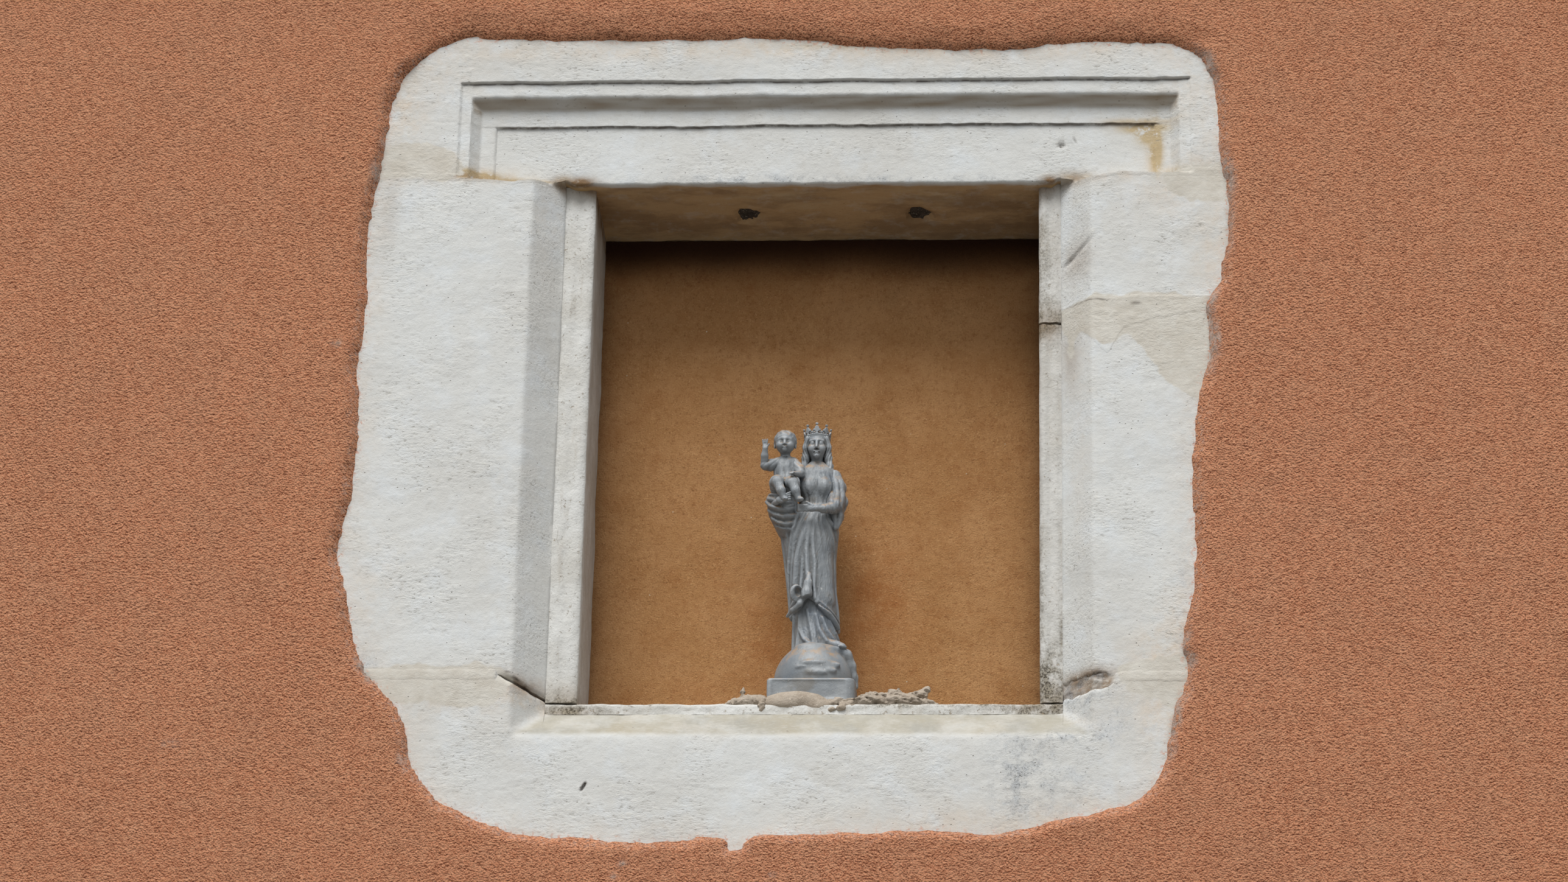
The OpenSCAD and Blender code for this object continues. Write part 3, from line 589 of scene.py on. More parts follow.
def figure_finish():
    """Grey paint with a painted highlight on its edges and painted shade in its folds and creases, chipped,
    pocked and dusty.
    """
    f = Finish("statuette_grey")
    f.coat(f.spots(35, 4, 0.6, 0.35, 0.65), (123, 128, 132), (140, 144, 147))
    f.over(f.spots(14, 3, 0.6, 0.5, 0.7, 0, 0.6), (106, 116, 128))
    f.over(f.spots(22, 4, 0.6, 0.56, 0.7, 0, 0.6), (110, 104, 94))
    # A painted highlight on the edges, and painted shade in the folds and creases.
    f.over(f.field("edge"), (170, 176, 182), 0.3)
    f.over(f.field("fold"), (76, 76, 74), 0.55)
    f.over(f.field("crease"), (44, 40, 36), 0.65)
    chips = f.times(f.spots(130, 5, 0.75, 0.61, 0.64, 0, 0.8), f.spots(17, 3, 0.6, 0.5, 0.6), True)
    f.over(chips, (190, 192, 190))
    f.over(f.broken("dust", f.spots(120, 4, 0.7, 0.36, 0.6, 0.1, 1)), (178, 142, 100), 0.9)
    f.over(f.times(f.ramp(f.cells(210), 0.16, 0.08), f.spots(40, 3, 0.55, 0.56, 0.64), True), (46, 42, 38))
    cloth = f.field("cloth")
    wrinkles = f.times(f.noise(70, 4, 0.55, f.stretched(1.4, 1.4, 0.4), 1.6), cloth)
    # Painted shade in the hollows of the fine wrinkles.
    f.over(f.times(f.ramp(wrinkles, 0.46, 0.36), cloth), (70, 72, 74), 0.12)
    f.bump(wrinkles, 0.0026, 0.8)
    f.bump(f.noise(300, 4, 0.65), 0.0008, 0.6)
    f.bump(chips, 0.0006, 0.7)
    return f.done(0.45, 0.45)


def rubble_finish():
    """Stones of several tones in pale mortar."""
    f = Finish("rubble_masonry")
    f.coat(f.field("tone"), (158, 146, 128), (122, 112, 98))
    f.over(f.spots(60, 5, 0.7, 0.35, 0.65, 0, 0.6), (170, 158, 138))
    f.over(f.field("mortar"), (196, 184, 162))
    f.bump(f.noise(150, 5, 0.7), 0.004, 0.8)
    return f.done(0.92, 0.15)


FINISHES = {
    "roughcast": roughcast_finish(),
    "whitewashed_stone": whitewash_finish("whitewashed_stone"),
    "ochre_plaster": plaster_finish(),
    "lining_plaster": lining_finish(),
    "joint_mortar": whitewash_finish("smeared_mortar"),
    "bedding_mortar": mortar_finish("bedding_mortar", (176, 164, 150), (156, 143, 128), 0.6, 0.003),
    "dark_filling": mortar_finish("dark_filling", (84, 78, 72), (60, 54, 48), 0.9, 0.004),
    "statuette_grey": figure_finish(),
    "rubble_masonry": rubble_finish(),
}


# Roughcast

# How far the coat reaches inside its outline and its fine grid goes, and the height where its pieces part.
EDGE_REACH = 12
FINE_X = 760
MIDDLE_Z = 760


def lumps(x, z):
    """Heaps and hollows of the thrown coat, from 0 at the top of a heap to 1 in a pit."""
    bend_x = 5 * wave(11, x / 31, z / 23)
    bend_z = 3 * wave(12, x / 27, z / 19)
    heaps = 1 - np.abs(wave(13, (x + bend_x) / 15, (z + bend_z) / 8.5)) * 1.5
    grains = wave(14, (x + bend_x) / 8, (z + bend_z) / 5.5)
    return np.clip(0.52 - 0.55 * (heaps - 0.62) - 0.35 * grains, 0, 1)


def make_roughcast():
    """The coat round the stones, thinned to a frayed edge, in one piece for each node."""
    xs = steps(-BAY_X, 12, -FINE_X, 6, FINE_X, 12, BAY_X)
    zs = steps(0, 4.8, BAY_TOP)
    x, z = np.meshgrid(xs, zs, indexing="ij")
    gap = outside(x, z, RENDER_EDGE)
    frayed = gap + 4.5 * wave(21, x / 42, z / 42) + 2.6 * wave(22, x / 14, z / 14) + 1
    steep = smooth((z - 1380) / 30)
    run = (14 + 24 * steep) * (1 + 0.5 * wave(23, x / 90, z / 90))
    thick = (FACE_Y - COAT_Y) * np.sqrt(np.clip(frayed / run, 0, 1))
    # The depth of the pits shapes the coat and also paints shade in the deepest ones.
    pit = lumps(x, z)
    swell = 1.2 + 1.2 * wave(24, x / 260, z / 260)
    relief = np.clip(1.2 * pit + swell, 0, 7) * thick / (FACE_Y - COAT_Y)
    dive = np.where(frayed < 0, np.minimum(-frayed * 0.7, 8), 0)
    y = FACE_Y - thick + relief + dive
    middle_x = (xs[:-1] + xs[1:])[:, None] / 2
    middle_z = (zs[:-1] + zs[1:])[None, :] / 2
    near = np.minimum(np.minimum(gap[:-1, :-1], gap[1:, :-1]), np.minimum(gap[:-1, 1:], gap[1:, 1:]))
    covered = near > -EDGE_REACH
    left = box("render_left")[1][0]
    right = box("render_right")[0][0]
    middle = (middle_x > left) & (middle_x < right)
    upper = middle_z > MIDDLE_Z
    worn_edge = smooth((14 + 8 * wave(25, x / 20, z / 20) - frayed) / 10)
    bare = np.clip(blob(x, z, CHIP_SPOTS), 0, 1) + worn_edge * np.clip(blob(x, z, BARE_SPOTS) * 1.6, 0, 1)
    for name, part in (("render_left", middle_x < left), ("render_right", middle_x > right),
                       ("render_above", middle & upper), ("render_below", middle & ~upper)):
        masked_slab("coat" + name[6:], covered & part, x, y, z, FACE_Y + 9, [name], "roughcast",
                    pit=pit * smooth(thick / 12), bare=bare, rim=smooth(1 - frayed / 20) * (1 - steep))


def make_rear_coat():
    """Plain roughcast over the whole rear."""
    lo, hi = box("rear_render")
    xs = steps(lo[0], 21, hi[0])
    zs = steps(lo[2], 17, hi[2])
    x, z = np.meshgrid(xs, zs, indexing="ij")
    pit = lumps(-x + 4000, z)
    y = hi[1] - np.clip(1.2 * pit + 1.2 + 1.2 * wave(26, x / 260, z / 260), 0, 7)
    keep = np.ones((len(xs) - 1, len(zs) - 1), bool)
    masked_slab("coat_rear", keep, x, y, z, lo[1], ["rear_render"], "roughcast", pit=pit,
                bare=np.zeros(x.shape), rim=np.zeros(x.shape))


# Stones of the surround

PANEL_LEFT = -541
PANEL_RIGHT = 575
PANEL_TOP = 1346
GROOVE_Z = 1278
FASCIA_DEPTH = 26

# Distances in from the edge of the sunk panel, and the depth of its mouldings there.
SIDE_PROFILE = ([-5, -1, 0, 1.5, 3, 17, 19, 23, 27, 30, 32, 33, 53.5, 54.5, 56, 400],
                [0, 0, 0.6, 3.6, 4, 4.3, 7.5, 12.4, 16.6, 19.8, 21.8, 22, 22.3, 23, 26, 26])
TOP_PROFILE = ([-5, -1, 0, 1.2, 2.4, 24, 26, 30, 34, 38, 41, 42, 66.5, 67.3, 68.6, 400],
               [0, 0, 0.6, 4.6, 5, 4.6, 7.5, 12.2, 16.2, 19.8, 21.8, 22, 21.6, 23, 26, 26])

# A slit in the sill, and the dents in the stones.
SLIT = (-312, 198)
LINTEL_CUTS = [(378, 1243, 5, 3.5, 20, 6), (392, 1247, 8, 1.2, 35, 1.5)]
JAMB_CUTS = [(404, 1060, 24, 2.2, 36, 4), (392, 1048, 12, 5, 30, 3), (*SLIT, 7, 1.6, 60, 5)]


def undulation(x, z):
    """The hand-dressed unevenness of a stone's face under its coats of whitewash."""
    return np.clip(1.7 + 1.5 * wave(31, x / 170, z / 150) + 0.8 * wave(32, x / 60, z / 55)
                   + 0.35 * wave(33, x / 24, z / 12) + 0.2 * wave(34, x / 12, z / 5), 0, 6)


def warped_height(x, z):
    """Height, with the wander of lines that were cut and painted by hand."""
    wander = z + 1.9 * wave(42, x / 110, z / 200) + 1.1 * wave(43, x / 21, z / 90)
    return wander + 0.4 * wave(46, x / 11, z / 60)


def lintel_depth(x, z):
    """Depth of the sunk panel and its mouldings below the lintel's face."""
    u = x + 1.3 * wave(41, z / 40, x / 160) + 0.9 * wave(47, z / 11, x / 90)
    v = warped_height(x, z)
    depth = np.minimum(np.interp(u - PANEL_LEFT, *SIDE_PROFILE), np.interp(PANEL_RIGHT - u, *SIDE_PROFILE))
    return np.minimum(depth, np.interp(PANEL_TOP - v, *TOP_PROFILE))


def splay_depth(x, z):
    """Depth of the chamfer round the opening, mitred at the sill."""
    wide = HALF_W + CHAMFER + 2.2 * wave(44, x / 300, z / 110)
    side = wide - np.abs(x)
    foot = z - (SEAT_Z - CHAMFER) + 2 * wave(45, x / 120, z / 300)
    slope = join(side, foot, np.where(x > 0, 18.0, 11.0))
    softness = 1.8 + 4 * smooth((side - foot) / 14 + 0.5)
    return np.clip(soft_ramp(slope, softness), 0, CHAMFER)


def jamb_front(x, z):
    return splay_depth(x, z) + undulation(x, z) + cuts(x, z, JAMB_CUTS)


def lintel_front(x, z):
    return lintel_depth(x, z) + undulation(x, z) + cuts(x, z, LINTEL_CUTS)


def rounded(distance, radius):
    """How far a worn edge falls back near it."""
    t = np.clip(distance, 0, radius)
    return radius - np.sqrt(np.maximum(radius ** 2 - (radius - t) ** 2, 0))


# Marks on the stones, among them grime with painted shade and painted shadow marks, as blob and cuts take
# them, and the outlines of patches where an older coat shows.
STAIN_SPOTS = [
    (540, 392, 66, 52, 1.1), (-600, 1205, 70, 30, 0.9), (-560, 1350, 60, 60, 0.35),
    (-620, 1290, 30, 60, 0.7), (-500, 1190, 60, 18, 0.9), (-450, 345, 170, 30, 0.9),
    (-620, 500, 40, 90, 0.3), (-120, 300, 260, 22, 0.6), (240, 302, 200, 20, 0.55),
    (520, 330, 60, 60, 0.7), (560, 1170, 60, 50, 0.9), (520, 1230, 14, 60, 1.0), (500, 1278, 60, 8, 0.9),
    (600, 1060, 40, 120, 0.35), (440, 930, 70, 30, 0.4), (400, 760, 26, 200, 0.25),
    (-400, 1100, 26, 80, 0.3), (0, 1395, 700, 14, 0.45), (560, 1330, 40, 60, 0.5),
    (540, 420, 30, 80, 0.6), (450, 1180, 60, 14, 0.7), (-600, 150, 60, 60, 0.4), (300, 150, 200, 40, 0.3),
]
# Dark brown spots at the corners of the opening, along the joints and at a dent: grime and painted shade.
GRIME_AND_SHADE_SPOTS = [
    (-354, 1184, 26, 10, 1.3), (360, 1183, 14, 9, 1.2), (-520, 1186, 60, 8, 0.7),
    (-410, 360, 30, 14, 0.8), (410, 372, 46, 12, 0.9), (-380, 1185, 20, 12, 0.8),
    (395, 1187, 24, 12, 0.7), (400, 1045, 26, 30, 0.4), (500, 968, 90, 6, 0.4), (390, 890, 14, 60, 0.4),
    (-640, 1130, 12, 70, 0.2),
]
RUST_SPOTS = [
    (-508, 1191, 34, 9, 2.0), (-450, 1185, 60, 4, 1.5), (522, 1238, 9, 44, 2.0), (506, 1270, 32, 8, 1.9),
    (512, 1256, 18, 14, 1.5), (-470, 1188, 30, 6, 1.2), (-380, 1186, 14, 8, 0.9),
    (-440, 1180, 40, 4, 0.5), (521, 1245, 8, 50, 0.8), (500, 1281, 50, 5, 0.8), (400, 1188, 30, 6, 0.6),
    (546, 1192, 14, 8, 0.7), (60, 1404, 120, 6, 0.5), (0, 331, 330, 8, 0.3),
]
LICHEN_SPOTS = [
    (320, 216, 46, 70, 1.0), (380, 276, 80, 16, 0.8), (0, 1189, 345, 6, 0.8), (440, 300, 60, 30, 0.4),
    (400, 345, 40, 20, 0.9), (-390, 345, 22, 20, 0.6), (350, 200, 60, 60, 0.5), (560, 500, 16, 90, 0.4),
    (-640, 380, 30, 40, 0.4),
]
BARE_SPOTS = [
    (600, 1350, 20, 36, 0.8), (626, 1173, 22, 30, 1.0), (620, 1110, 14, 60, 0.7), (600, 940, 20, 40, 1.0),
    (606, 890, 22, 34, 0.9), (-640, 1232, 16, 22, 0.9), (-660, 1185, 14, 16, 0.7),
    (-640, 372, 18, 18, 0.9), (-584, 227, 14, 28, 0.8), (560, 404, 16, 24, 0.9), (540, 290, 16, 50, 0.7),
]
CHIP_SPOTS = [
    (-706, 897, 6, 4, 1.6), (-911, 258, 6, 5, 1.6), (-250, 76, 5, 4, 1.4), (-262, 58, 4, 4, 1.2),
    (-36, 60, 5, 3, 1.2),
]
PATCH_LOOPS = [
    [(-668, 1186), (-660, 1232), (-600, 1238), (-545, 1226), (-528, 1190), (-590, 1180)],
    [(-640, 378), (-560, 392), (-480, 384), (-424, 376), (-432, 336), (-480, 322), (-560, 326), (-622, 344)],
    [(524, 1190), (580, 1194), (640, 1196), (640, 1142), (590, 1134), (540, 1152)],
    [(456, 384), (500, 398), (552, 402), (574, 360), (556, 318), (510, 330), (468, 346)],
    [(378, 972), (381, 930), (392, 890), (404, 924), (418, 912), (440, 896), (478, 908), (509, 870),
     (531, 838), (585, 806), (610, 850), (610, 972)],
]
# Painted shade in the slit, in the dents, along cracks and under the coat's lip.
SHADOW_MARKS = [
    (*SLIT, 7, 2.0, 60, 2.6), (378, 1243, 5, 3.5, 20, 0.8), (396, 1249, 12, 1.2, 30, 0.5),
    (-409, 362, 34, 1.8, -34, 0.9), (414, 372.5, 36, 1.2, 3, 0.6), (400, 1060, 22, 1.6, 36, 0.35),
    (-150, 1418, 30, 1.6, 4, 0.7), (60, 1410, 90, 1.4, -3, 0.5), (424, 971, 40, 1.0, -3, 0.7),
    (488, 964, 8, 2.6, 0, 0.6),
]


def painted_shadow_line(offset, ends, wander):
    """A painted shadow line under a moulding's edge, where the offset is nought, fading now and then."""
    return np.exp(-(offset / 1.3) ** 2) * ends * (0.8 + 0.2 * smooth(1.2 * wander + 0.5))


def stone_fields(x, z):
    """The marks on the whitewash, painted shade and shadow lines among them, each from 0 to 1 or more."""
    edge = outside(x, z, RENDER_EDGE)
    near = smooth(1 + (edge + 4 * wave(52, x / 18, z / 18)) / 10)
    # Painted shade on the sill's splay, which faces up into the light.
    lip = z - (SEAT_Z - CHAMFER) + 6 + 3 * wave(60, x / 45, z / 30)
    dull = smooth(lip / 11) * smooth((SEAT_Z + 12 - z) / 6)
    dull = dull * smooth((HALF_W + CHAMFER - np.abs(x) - lip) / 22 + 0.5)
    ragged = 9 * wave(53, x / 46, z / 34) + 5 * wave(54, x / 15, z / 12) + 2 * wave(55, x / 5, z / 5)
    patches = [smooth(0.5 + (ragged - outside(x, z, smooth_loop(loop, 3))) / 16) for loop in PATCH_LOOPS]
    v = warped_height(x, z)
    along = smooth((x - PANEL_LEFT + 4) / 8) * smooth((PANEL_RIGHT - x + 4) / 8)
    inner = smooth((x - PANEL_LEFT - 58) / 6) * smooth((PANEL_RIGHT - 44 - x) / 6)
    # Painted shadow lines just under the edges of the fillet and of the band.
    first = painted_shadow_line(v - PANEL_TOP + 2.2, along, wave(56, x / 37))
    second = painted_shadow_line(v - GROOVE_Z - 0.2, inner, wave(57, x / 31))
    depth = np.where(z > SOFFIT_Z + 4, lintel_depth(x, z), 0)
    shade = (0.12 + 0.7 * smooth((z - 1292) / 14)) * smooth((depth - 5) / 4) * smooth((22.5 - depth) / 3)
    return {
        "stain": np.clip(blob(x, z, STAIN_SPOTS) + 0.5 * smooth(1 + edge / 60) * 0.8, 0, 1),
        "grime": blob(x, z, GRIME_AND_SHADE_SPOTS),
        "lichen": blob(x, z, LICHEN_SPOTS),
        "bare": near * np.clip(blob(x, z, BARE_SPOTS) * 1.5, 0, 1),
        "rust": blob(x, z, RUST_SPOTS),
        "dull": np.clip(dull, 0, 1),
        "patch": np.maximum.reduce(patches),
        "line": np.maximum(np.maximum(first, second) * 0.92, np.clip(cuts(x, z, SHADOW_MARKS), 0, 1)),
        "shade": shade * (0.75 + 0.5 * wave(58, x / 60, z / 6)),
        "rim": smooth(1 + (edge + 5 * wave(59, x / 15, z / 15)) / 14),
    }


def crooked(x, seed):
    """The wander of a joint that was laid by hand."""
    return 1.8 * wave(seed, x / 26) + 1.0 * wave(seed + 1, x / 8)


def left_top_joint(x):
    stops = np.interp(x, [-720, -660, -531, -459, -400, -377], [1184, 1184, 1183, 1176, 1182, 1186])
    return stops + crooked(x, 401)


def right_top_joint(x):
    stops = np.interp(x, [377, 400, 423, 465, 522, 640, 690], [1186, 1182, 1178, 1187, 1184, 1184, 1184])
    return stops + crooked(x, 403)


def left_low_joint(x):
    return np.interp(x, [-720, -627, -440, -408, -377], [372, 372, 371, 357, 349]) + crooked(x, 405)


def right_low_joint(x):
    return np.interp(x, [377, 440, 466, 560, 690], [359, 361, 368, 367, 367]) + crooked(x, 407)


def right_split(x):
    """Top of the lower right jamb, broken off under the mortar."""
    stops = np.interp(x - HALF_W, [0, 15, 33, 69, 92, 140, 215], [925, 902, 926, 886, 930, 946, 958])
    return stops + crooked(x, 411)


# Where a joint gapes: the distance from the middle at which it closes, and half its width.
LEFT_CRACK = (446, 1.6)
RIGHT_BREAK = (454, 10.5)
CLOSED = (0, 0)
UPPER_JAMB_FOOT = 971.0


def half_gap(x, broken):
    """Half the width of a joint, which gapes from a place near the opening on."""
    return 0.9 + broken[1] * smooth((broken[0] - np.abs(x)) / 20) * (1 + 0.35 * wave(409, x / 9))


def worn(distance, x, broken):
    """The edge of a stone, worn round where its joint gapes and sharp where mortar is smeared over it."""
    return rounded(distance, 0.7 + 3.2 * smooth((broken[0] - np.abs(x)) / 20))


def make_jamb(name, node, xs, low, high, rows, broken):
    """One stone of a jamb, with its foot at a joint that may gape."""
    def front(x, z):
        foot = worn(z - low[:, None], x, broken)
        return FACE_Y + jamb_front(x, z) + foot + rounded(high[:, None] - z, 1.2)

    panel(name, xs, low, high, np.linspace(0, 1, round(rows / COARSE)), front, STONE_BACK, [node],
          "whitewashed_stone", stone_fields)


def make_jambs():
    """The left jamb, and the right one in two stones."""
    xs = steps(STONE_LEFT, 20, -700, 4, -430, 3.2, -HALF_W)
    make_jamb("jamb_left", "left_jamb", xs, left_low_joint(xs) + half_gap(xs, LEFT_CRACK),
              left_top_joint(xs) - 1, 206, LEFT_CRACK)
    xs = steps(HALF_W, 3.2, 430, 4, 640, 12, STONE_RIGHT)
    make_jamb("jamb_right_lower", "right_jamb_lower", xs, right_low_joint(xs) + half_gap(xs, RIGHT_BREAK),
              right_split(xs), 142, RIGHT_BREAK)
    make_jamb("jamb_right_upper", "right_jamb_upper", xs, UPPER_JAMB_FOOT + 1.5 * wave(61, xs / 40),
              right_top_joint(xs) - 1, 56, CLOSED)


def make_sill():
    """The sill with its sunk seat and its upright ends, and a fine grid round the slit."""
    foot = box("sill_stone")[0][2]
    left = steps(STONE_LEFT, 12, -640, 4, -430, 3.2, -HALF_W - 0.2)
    inner = steps(-HALF_W + 0.2, 4.6, SLIT[0] - 8, 1.1, SLIT[0] + 8, 4.6, HALF_W - 0.2)
    right = steps(HALF_W + 0.2, 3.2, 430, 4, 620, 12, STONE_RIGHT)
    high = np.concatenate([left_low_joint(left) - half_gap(left, LEFT_CRACK), np.full(len(inner), SEAT_Z),
                           right_low_joint(right) - half_gap(right, RIGHT_BREAK)])
    xs = np.concatenate([left, inner, right])

    def front(x, z):
        edge = np.where(np.abs(x) > HALF_W, high[:, None] - z, 99)
        fall = np.where(x < 0, worn(edge, x, LEFT_CRACK), worn(edge, x, RIGHT_BREAK))
        return FACE_Y + jamb_front(x, z) + fall

    rows = steps(foot, 5.2 * COARSE, SLIT[1] - 10, 1.4 * COARSE, SLIT[1] + 10, 5.2 * COARSE, high.max())
    rows = (rows - foot) / (high.max() - foot)
    panel("sill", xs, np.full(len(xs), foot), high, rows, front, STONE_BACK, ["sill_stone"],
          "whitewashed_stone", stone_fields, shelf=SEAT_Z - CHAMFER - 10)


# Where the two former bars stood, across the opening and behind the face.
SOCKET_X = (-103, 160)
SOCKET_REACH = 140


def socket_hollows(x, y):
    """Where the soffit is cut for the two former bars, from 0 to 1."""
    hollow = np.zeros(x.shape)
    for cx in SOCKET_X:
        ring = np.hypot((x - cx) / 19, (y - FACE_Y - SOCKET_REACH) / 23)
        ring = ring * (1 + 0.12 * np.cos(3 * np.arctan2(y - FACE_Y - SOCKET_REACH, x - cx) + cx))
        hollow = np.maximum(hollow, smooth((1.12 - ring) / 0.2))
    return hollow


def lintel_foot(xs):
    """Height of the lintel's lower edge: its joints at the ends, the sagging soffit between them."""
    foot = np.where(xs < 0, left_top_joint(xs), right_top_joint(xs)) + 1
    sag = SOFFIT_Z + 1.8 * wave(63, xs / 150) + 1.5 * wave(64, xs / 26) + 0.7 * wave(69, xs / 10)
    return foot + (sag - foot) * smooth((HALF_W - 2 - np.abs(xs)) / 12)


def lintel_face(xs, zs, start):
    """The lintel's face, in rows that follow its mouldings."""
    x = np.repeat(xs[:, None], len(zs), 1)
    z = zs[0] + (zs[None, :] - zs[0]) * (start[:, None] - zs[0]) / (zs[-1] - zs[0])
    for _ in range(2):
        follow = smooth((1376 - z) / 20) * smooth((z - 1248) / 18)
        z = z + follow * (zs[None, :] - warped_height(x, z))
    return np.stack([x, FACE_Y + lintel_front(x, z), z], -1)


def make_lintel():
    """The lintel as one skin: its face, the worn lower edge, the soffit, the back and the top."""
    xs = steps(STONE_LEFT, 12, -660, 4, -550, 2.2, -478, 4.4, 518, 2.2, 580, 4, 640, 12, STONE_RIGHT)
    zs = steps(LINTEL_HI[2], 8, 1426, 4, 1351, 0.75, 1341, 2.5, 1284, 0.9, 1273, 3.6, 1201)
    opening = smooth((HALF_W + 4 - np.abs(xs)) / 16)
    radius = 1.8 + 2.2 * opening * (1 + 0.5 * wave(62, xs / 70))
    foot = lintel_foot(xs)
    front = lintel_face(xs, zs, foot + radius)
    front_y = front[:, -1, 1]
    turns = np.linspace(0, math.pi / 2, 7)[1:]
    arc_y = [front_y + radius * (1 - math.cos(t)) for t in turns]
    arc_z = [foot + radius * (1 - math.sin(t)) for t in turns]
    arc = np.stack([np.stack([xs, y, z], -1) for y, z in zip(arc_y, arc_z)], 1)
    edge_y = arc[:, -1, 1:2]
    inward = steps(16, 4.2, STONE_BACK - FACE_Y - FASCIA_DEPTH)
    share = (inward - inward[0]) / (inward[-1] - inward[0])
    deep_x = np.repeat(xs[:, None], len(share) - 1, 1)
    deep_y = edge_y + (STONE_BACK - edge_y) * share[None, 1:]
    fall = 1 - np.exp(-(deep_y - edge_y) / 40)
    rise = 1.6 + 1.3 * wave(65, deep_x / 70, deep_y / 60) + 0.6 * wave(66, deep_x / 18, deep_y / 18)
    lift = np.clip(rise, 0, 5) * fall + 7 * socket_hollows(deep_x, deep_y)
    deep_z = foot[:, None] + np.where(np.abs(deep_x) < HALF_W, lift, 0)
    soffit = np.stack([deep_x, deep_y, deep_z], -1)
    top = np.stack([xs, np.full(len(xs), STONE_BACK), np.full(len(xs), LINTEL_HI[2])], -1)[:, None, :]
    points = np.concatenate([front, arc, soffit, top], 1)
    fields = stone_fields(points[..., 0], points[..., 2])
    fields["under"] = np.zeros(points.shape[:2])
    bare_from = len(zs) + len(turns)
    band = deep_y - edge_y - 6 - 9 * wave(67, deep_x / 60, deep_y / 60)
    fields["under"][:, bare_from:-1] = 0.92 * smooth(0.6 + band / 7)
    band = -6 - 9 * wave(67, xs / 60, edge_y[:, 0] / 60)
    fields["under"][:, bare_from - 1] = 0.92 * smooth(0.6 + band / 7)
    make_piece("lintel_stone", points.reshape(-1, 3), tube_faces(len(xs), points.shape[1]), ["lintel"],
               "whitewashed_stone", **{k: v.reshape(-1) for k, v in fields.items()})


# Niche

# How far the plaster runs in behind the linings and the ledge.
TUCK = 7


def make_plaster():
    """The back of the niche, darkened under the lintel and at the sides by soot and painted shade."""
    lo, hi = PLASTER_LO, PLASTER_HI
    xs = steps(lo[0] - TUCK, 8, hi[0] + TUCK)
    zs = steps(lo[2] - TUCK, 8, hi[2])
    x, z = np.meshgrid(xs, zs, indexing="ij")
    y = lo[1] + np.clip(1.5 + 1.4 * wave(71, x / 130, z / 130) + 0.6 * wave(72, x / 40, z / 40), 0, 4)
    down = hi[2] - z
    side = np.minimum(x - lo[0], hi[0] - x)
    # Darkest under the lintel and towards the sides: soot and painted shade.
    soot = np.exp(-(np.maximum(down + 10 * wave(73, x / 120, z / 60), 0) / 60) ** 3)
    soot = np.maximum(soot, 0.45 * np.exp(-np.maximum(side + 5 * wave(74, x / 60, z / 90), 0) / 18))
    band = 0.35 * np.exp(-((down - 105 - 20 * wave(75, x / 150, z / 90)) / 45) ** 2)
    orange = blob(x, z, [(95, 560, 50, 110, 0.8), (-60, 520, 40, 100, 0.5), (0, 380, 200, 40, 0.5)])
    keep = np.ones((len(xs) - 1, len(zs) - 1), bool)
    masked_slab("niche_back", keep, x, y, z, hi[1], ["niche_plaster"], "ochre_plaster",
                soot=soot, grey=band, orange=orange)


def make_lining(name, node, outer, inner, low, high, seed):
    """A plaster upright, from its front face round the rounded edge to the back of the niche."""
    side = 1 if inner > outer else -1
    across = np.linspace(0, 1, round(13 / COARSE) + 2)
    radius = 7
    face_x = outer + (inner - side * radius - outer) * across
    turn = np.linspace(0, math.pi / 2, 5)[1:]
    arc_x = inner - side * radius * (1 - np.sin(turn))
    arc_y = radius * (1 - np.cos(turn))
    deep = steps(radius, 6, STONE_BACK - RECESS_Y)[1:]
    zs = steps(low, 4.2, high)
    flat_x = np.concatenate([face_x, arc_x, np.full(len(deep), float(inner)), [float(outer)]])
    flat_y = np.concatenate([np.zeros(len(face_x)), arc_y, deep, [STONE_BACK - RECESS_Y]])
    x = np.repeat(flat_x[None, :], len(zs), 0)
    y = np.repeat(flat_y[None, :], len(zs), 0)
    z = np.repeat(zs[:, None], len(flat_x), 1)
    front = np.clip(1 - y / 12, 0, 1)
    beads = 1.6 * np.cos((x - outer) / (inner - outer) * 4 * math.pi) + 1.6
    rough = np.clip(1.2 + 1.6 * wave(seed, x / 30, z / 60) + 0.9 * wave(seed + 1, x / 9, z / 20), 0, 5)
    inset = np.clip(1 - front, 0, 1) * np.clip(1.5 + 1.6 * wave(seed + 2, y / 50, z / 70)
                                               + 0.6 * wave(seed + 3, y / 14, z / 16), 0, 5)
    hidden = np.arange(len(flat_x)) >= len(flat_x) - 1
    shift = np.where(hidden[None, :], 0, (beads * 0.6 + rough) * front)
    x = x - side * np.where(hidden[None, :], 0, inset) * (np.abs(x - outer) > 1)
    # Darker deeper in the niche, at the lower and upper corners and under the lintel: grime and painted
    # shade.
    grime = np.clip(0.09 - 0.07 * side + 0.36 * smooth((y - 6) / 40)
                    + 0.5 * blob(x, z, [(inner, low, 60, 30, 0.9)])
                    + 0.5 * smooth((z - high + 60) / 60) * smooth((y - 3) / 20)
                    + blob(x, z, [(inner, high, 30, 22, 1.0)]), 0, 1)
    lichen = blob(x, z, [(352, 372, 40, 60, 1.0), (345, 470, 6, 200, 0.6), (377, 420, 5, 120, 0.8),
                         (343, 960, 50, 40, 0.7), (345, 1060, 20, 100, 0.5), (-340, 345, 50, 14, 0.8)])
    points = np.stack([x, RECESS_Y + y + shift, z], -1)
    make_piece(name, points.reshape(-1, 3), tube_faces(len(zs), len(flat_x)), [node], "lining_plaster",
               grime=grime.reshape(-1), lichen=lichen.reshape(-1))


def make_linings():
    """One lining at the left and two at the right."""
    top = SOFFIT_Z + 6
    upper, lower = box("right_lining_upper"), box("right_lining_lower")
    make_lining("lining_left", "left_lining", -HALF_W, box("left_lining")[1][0], LEDGE_Z, top, 91)
    make_lining("lining_right_upper", "right_lining_upper", HALF_W, upper[0][0], upper[0][2], top, 95)
    make_lining("lining_right_lower", "right_lining_lower", HALF_W, lower[0][0], LEDGE_Z, lower[1][2], 99)


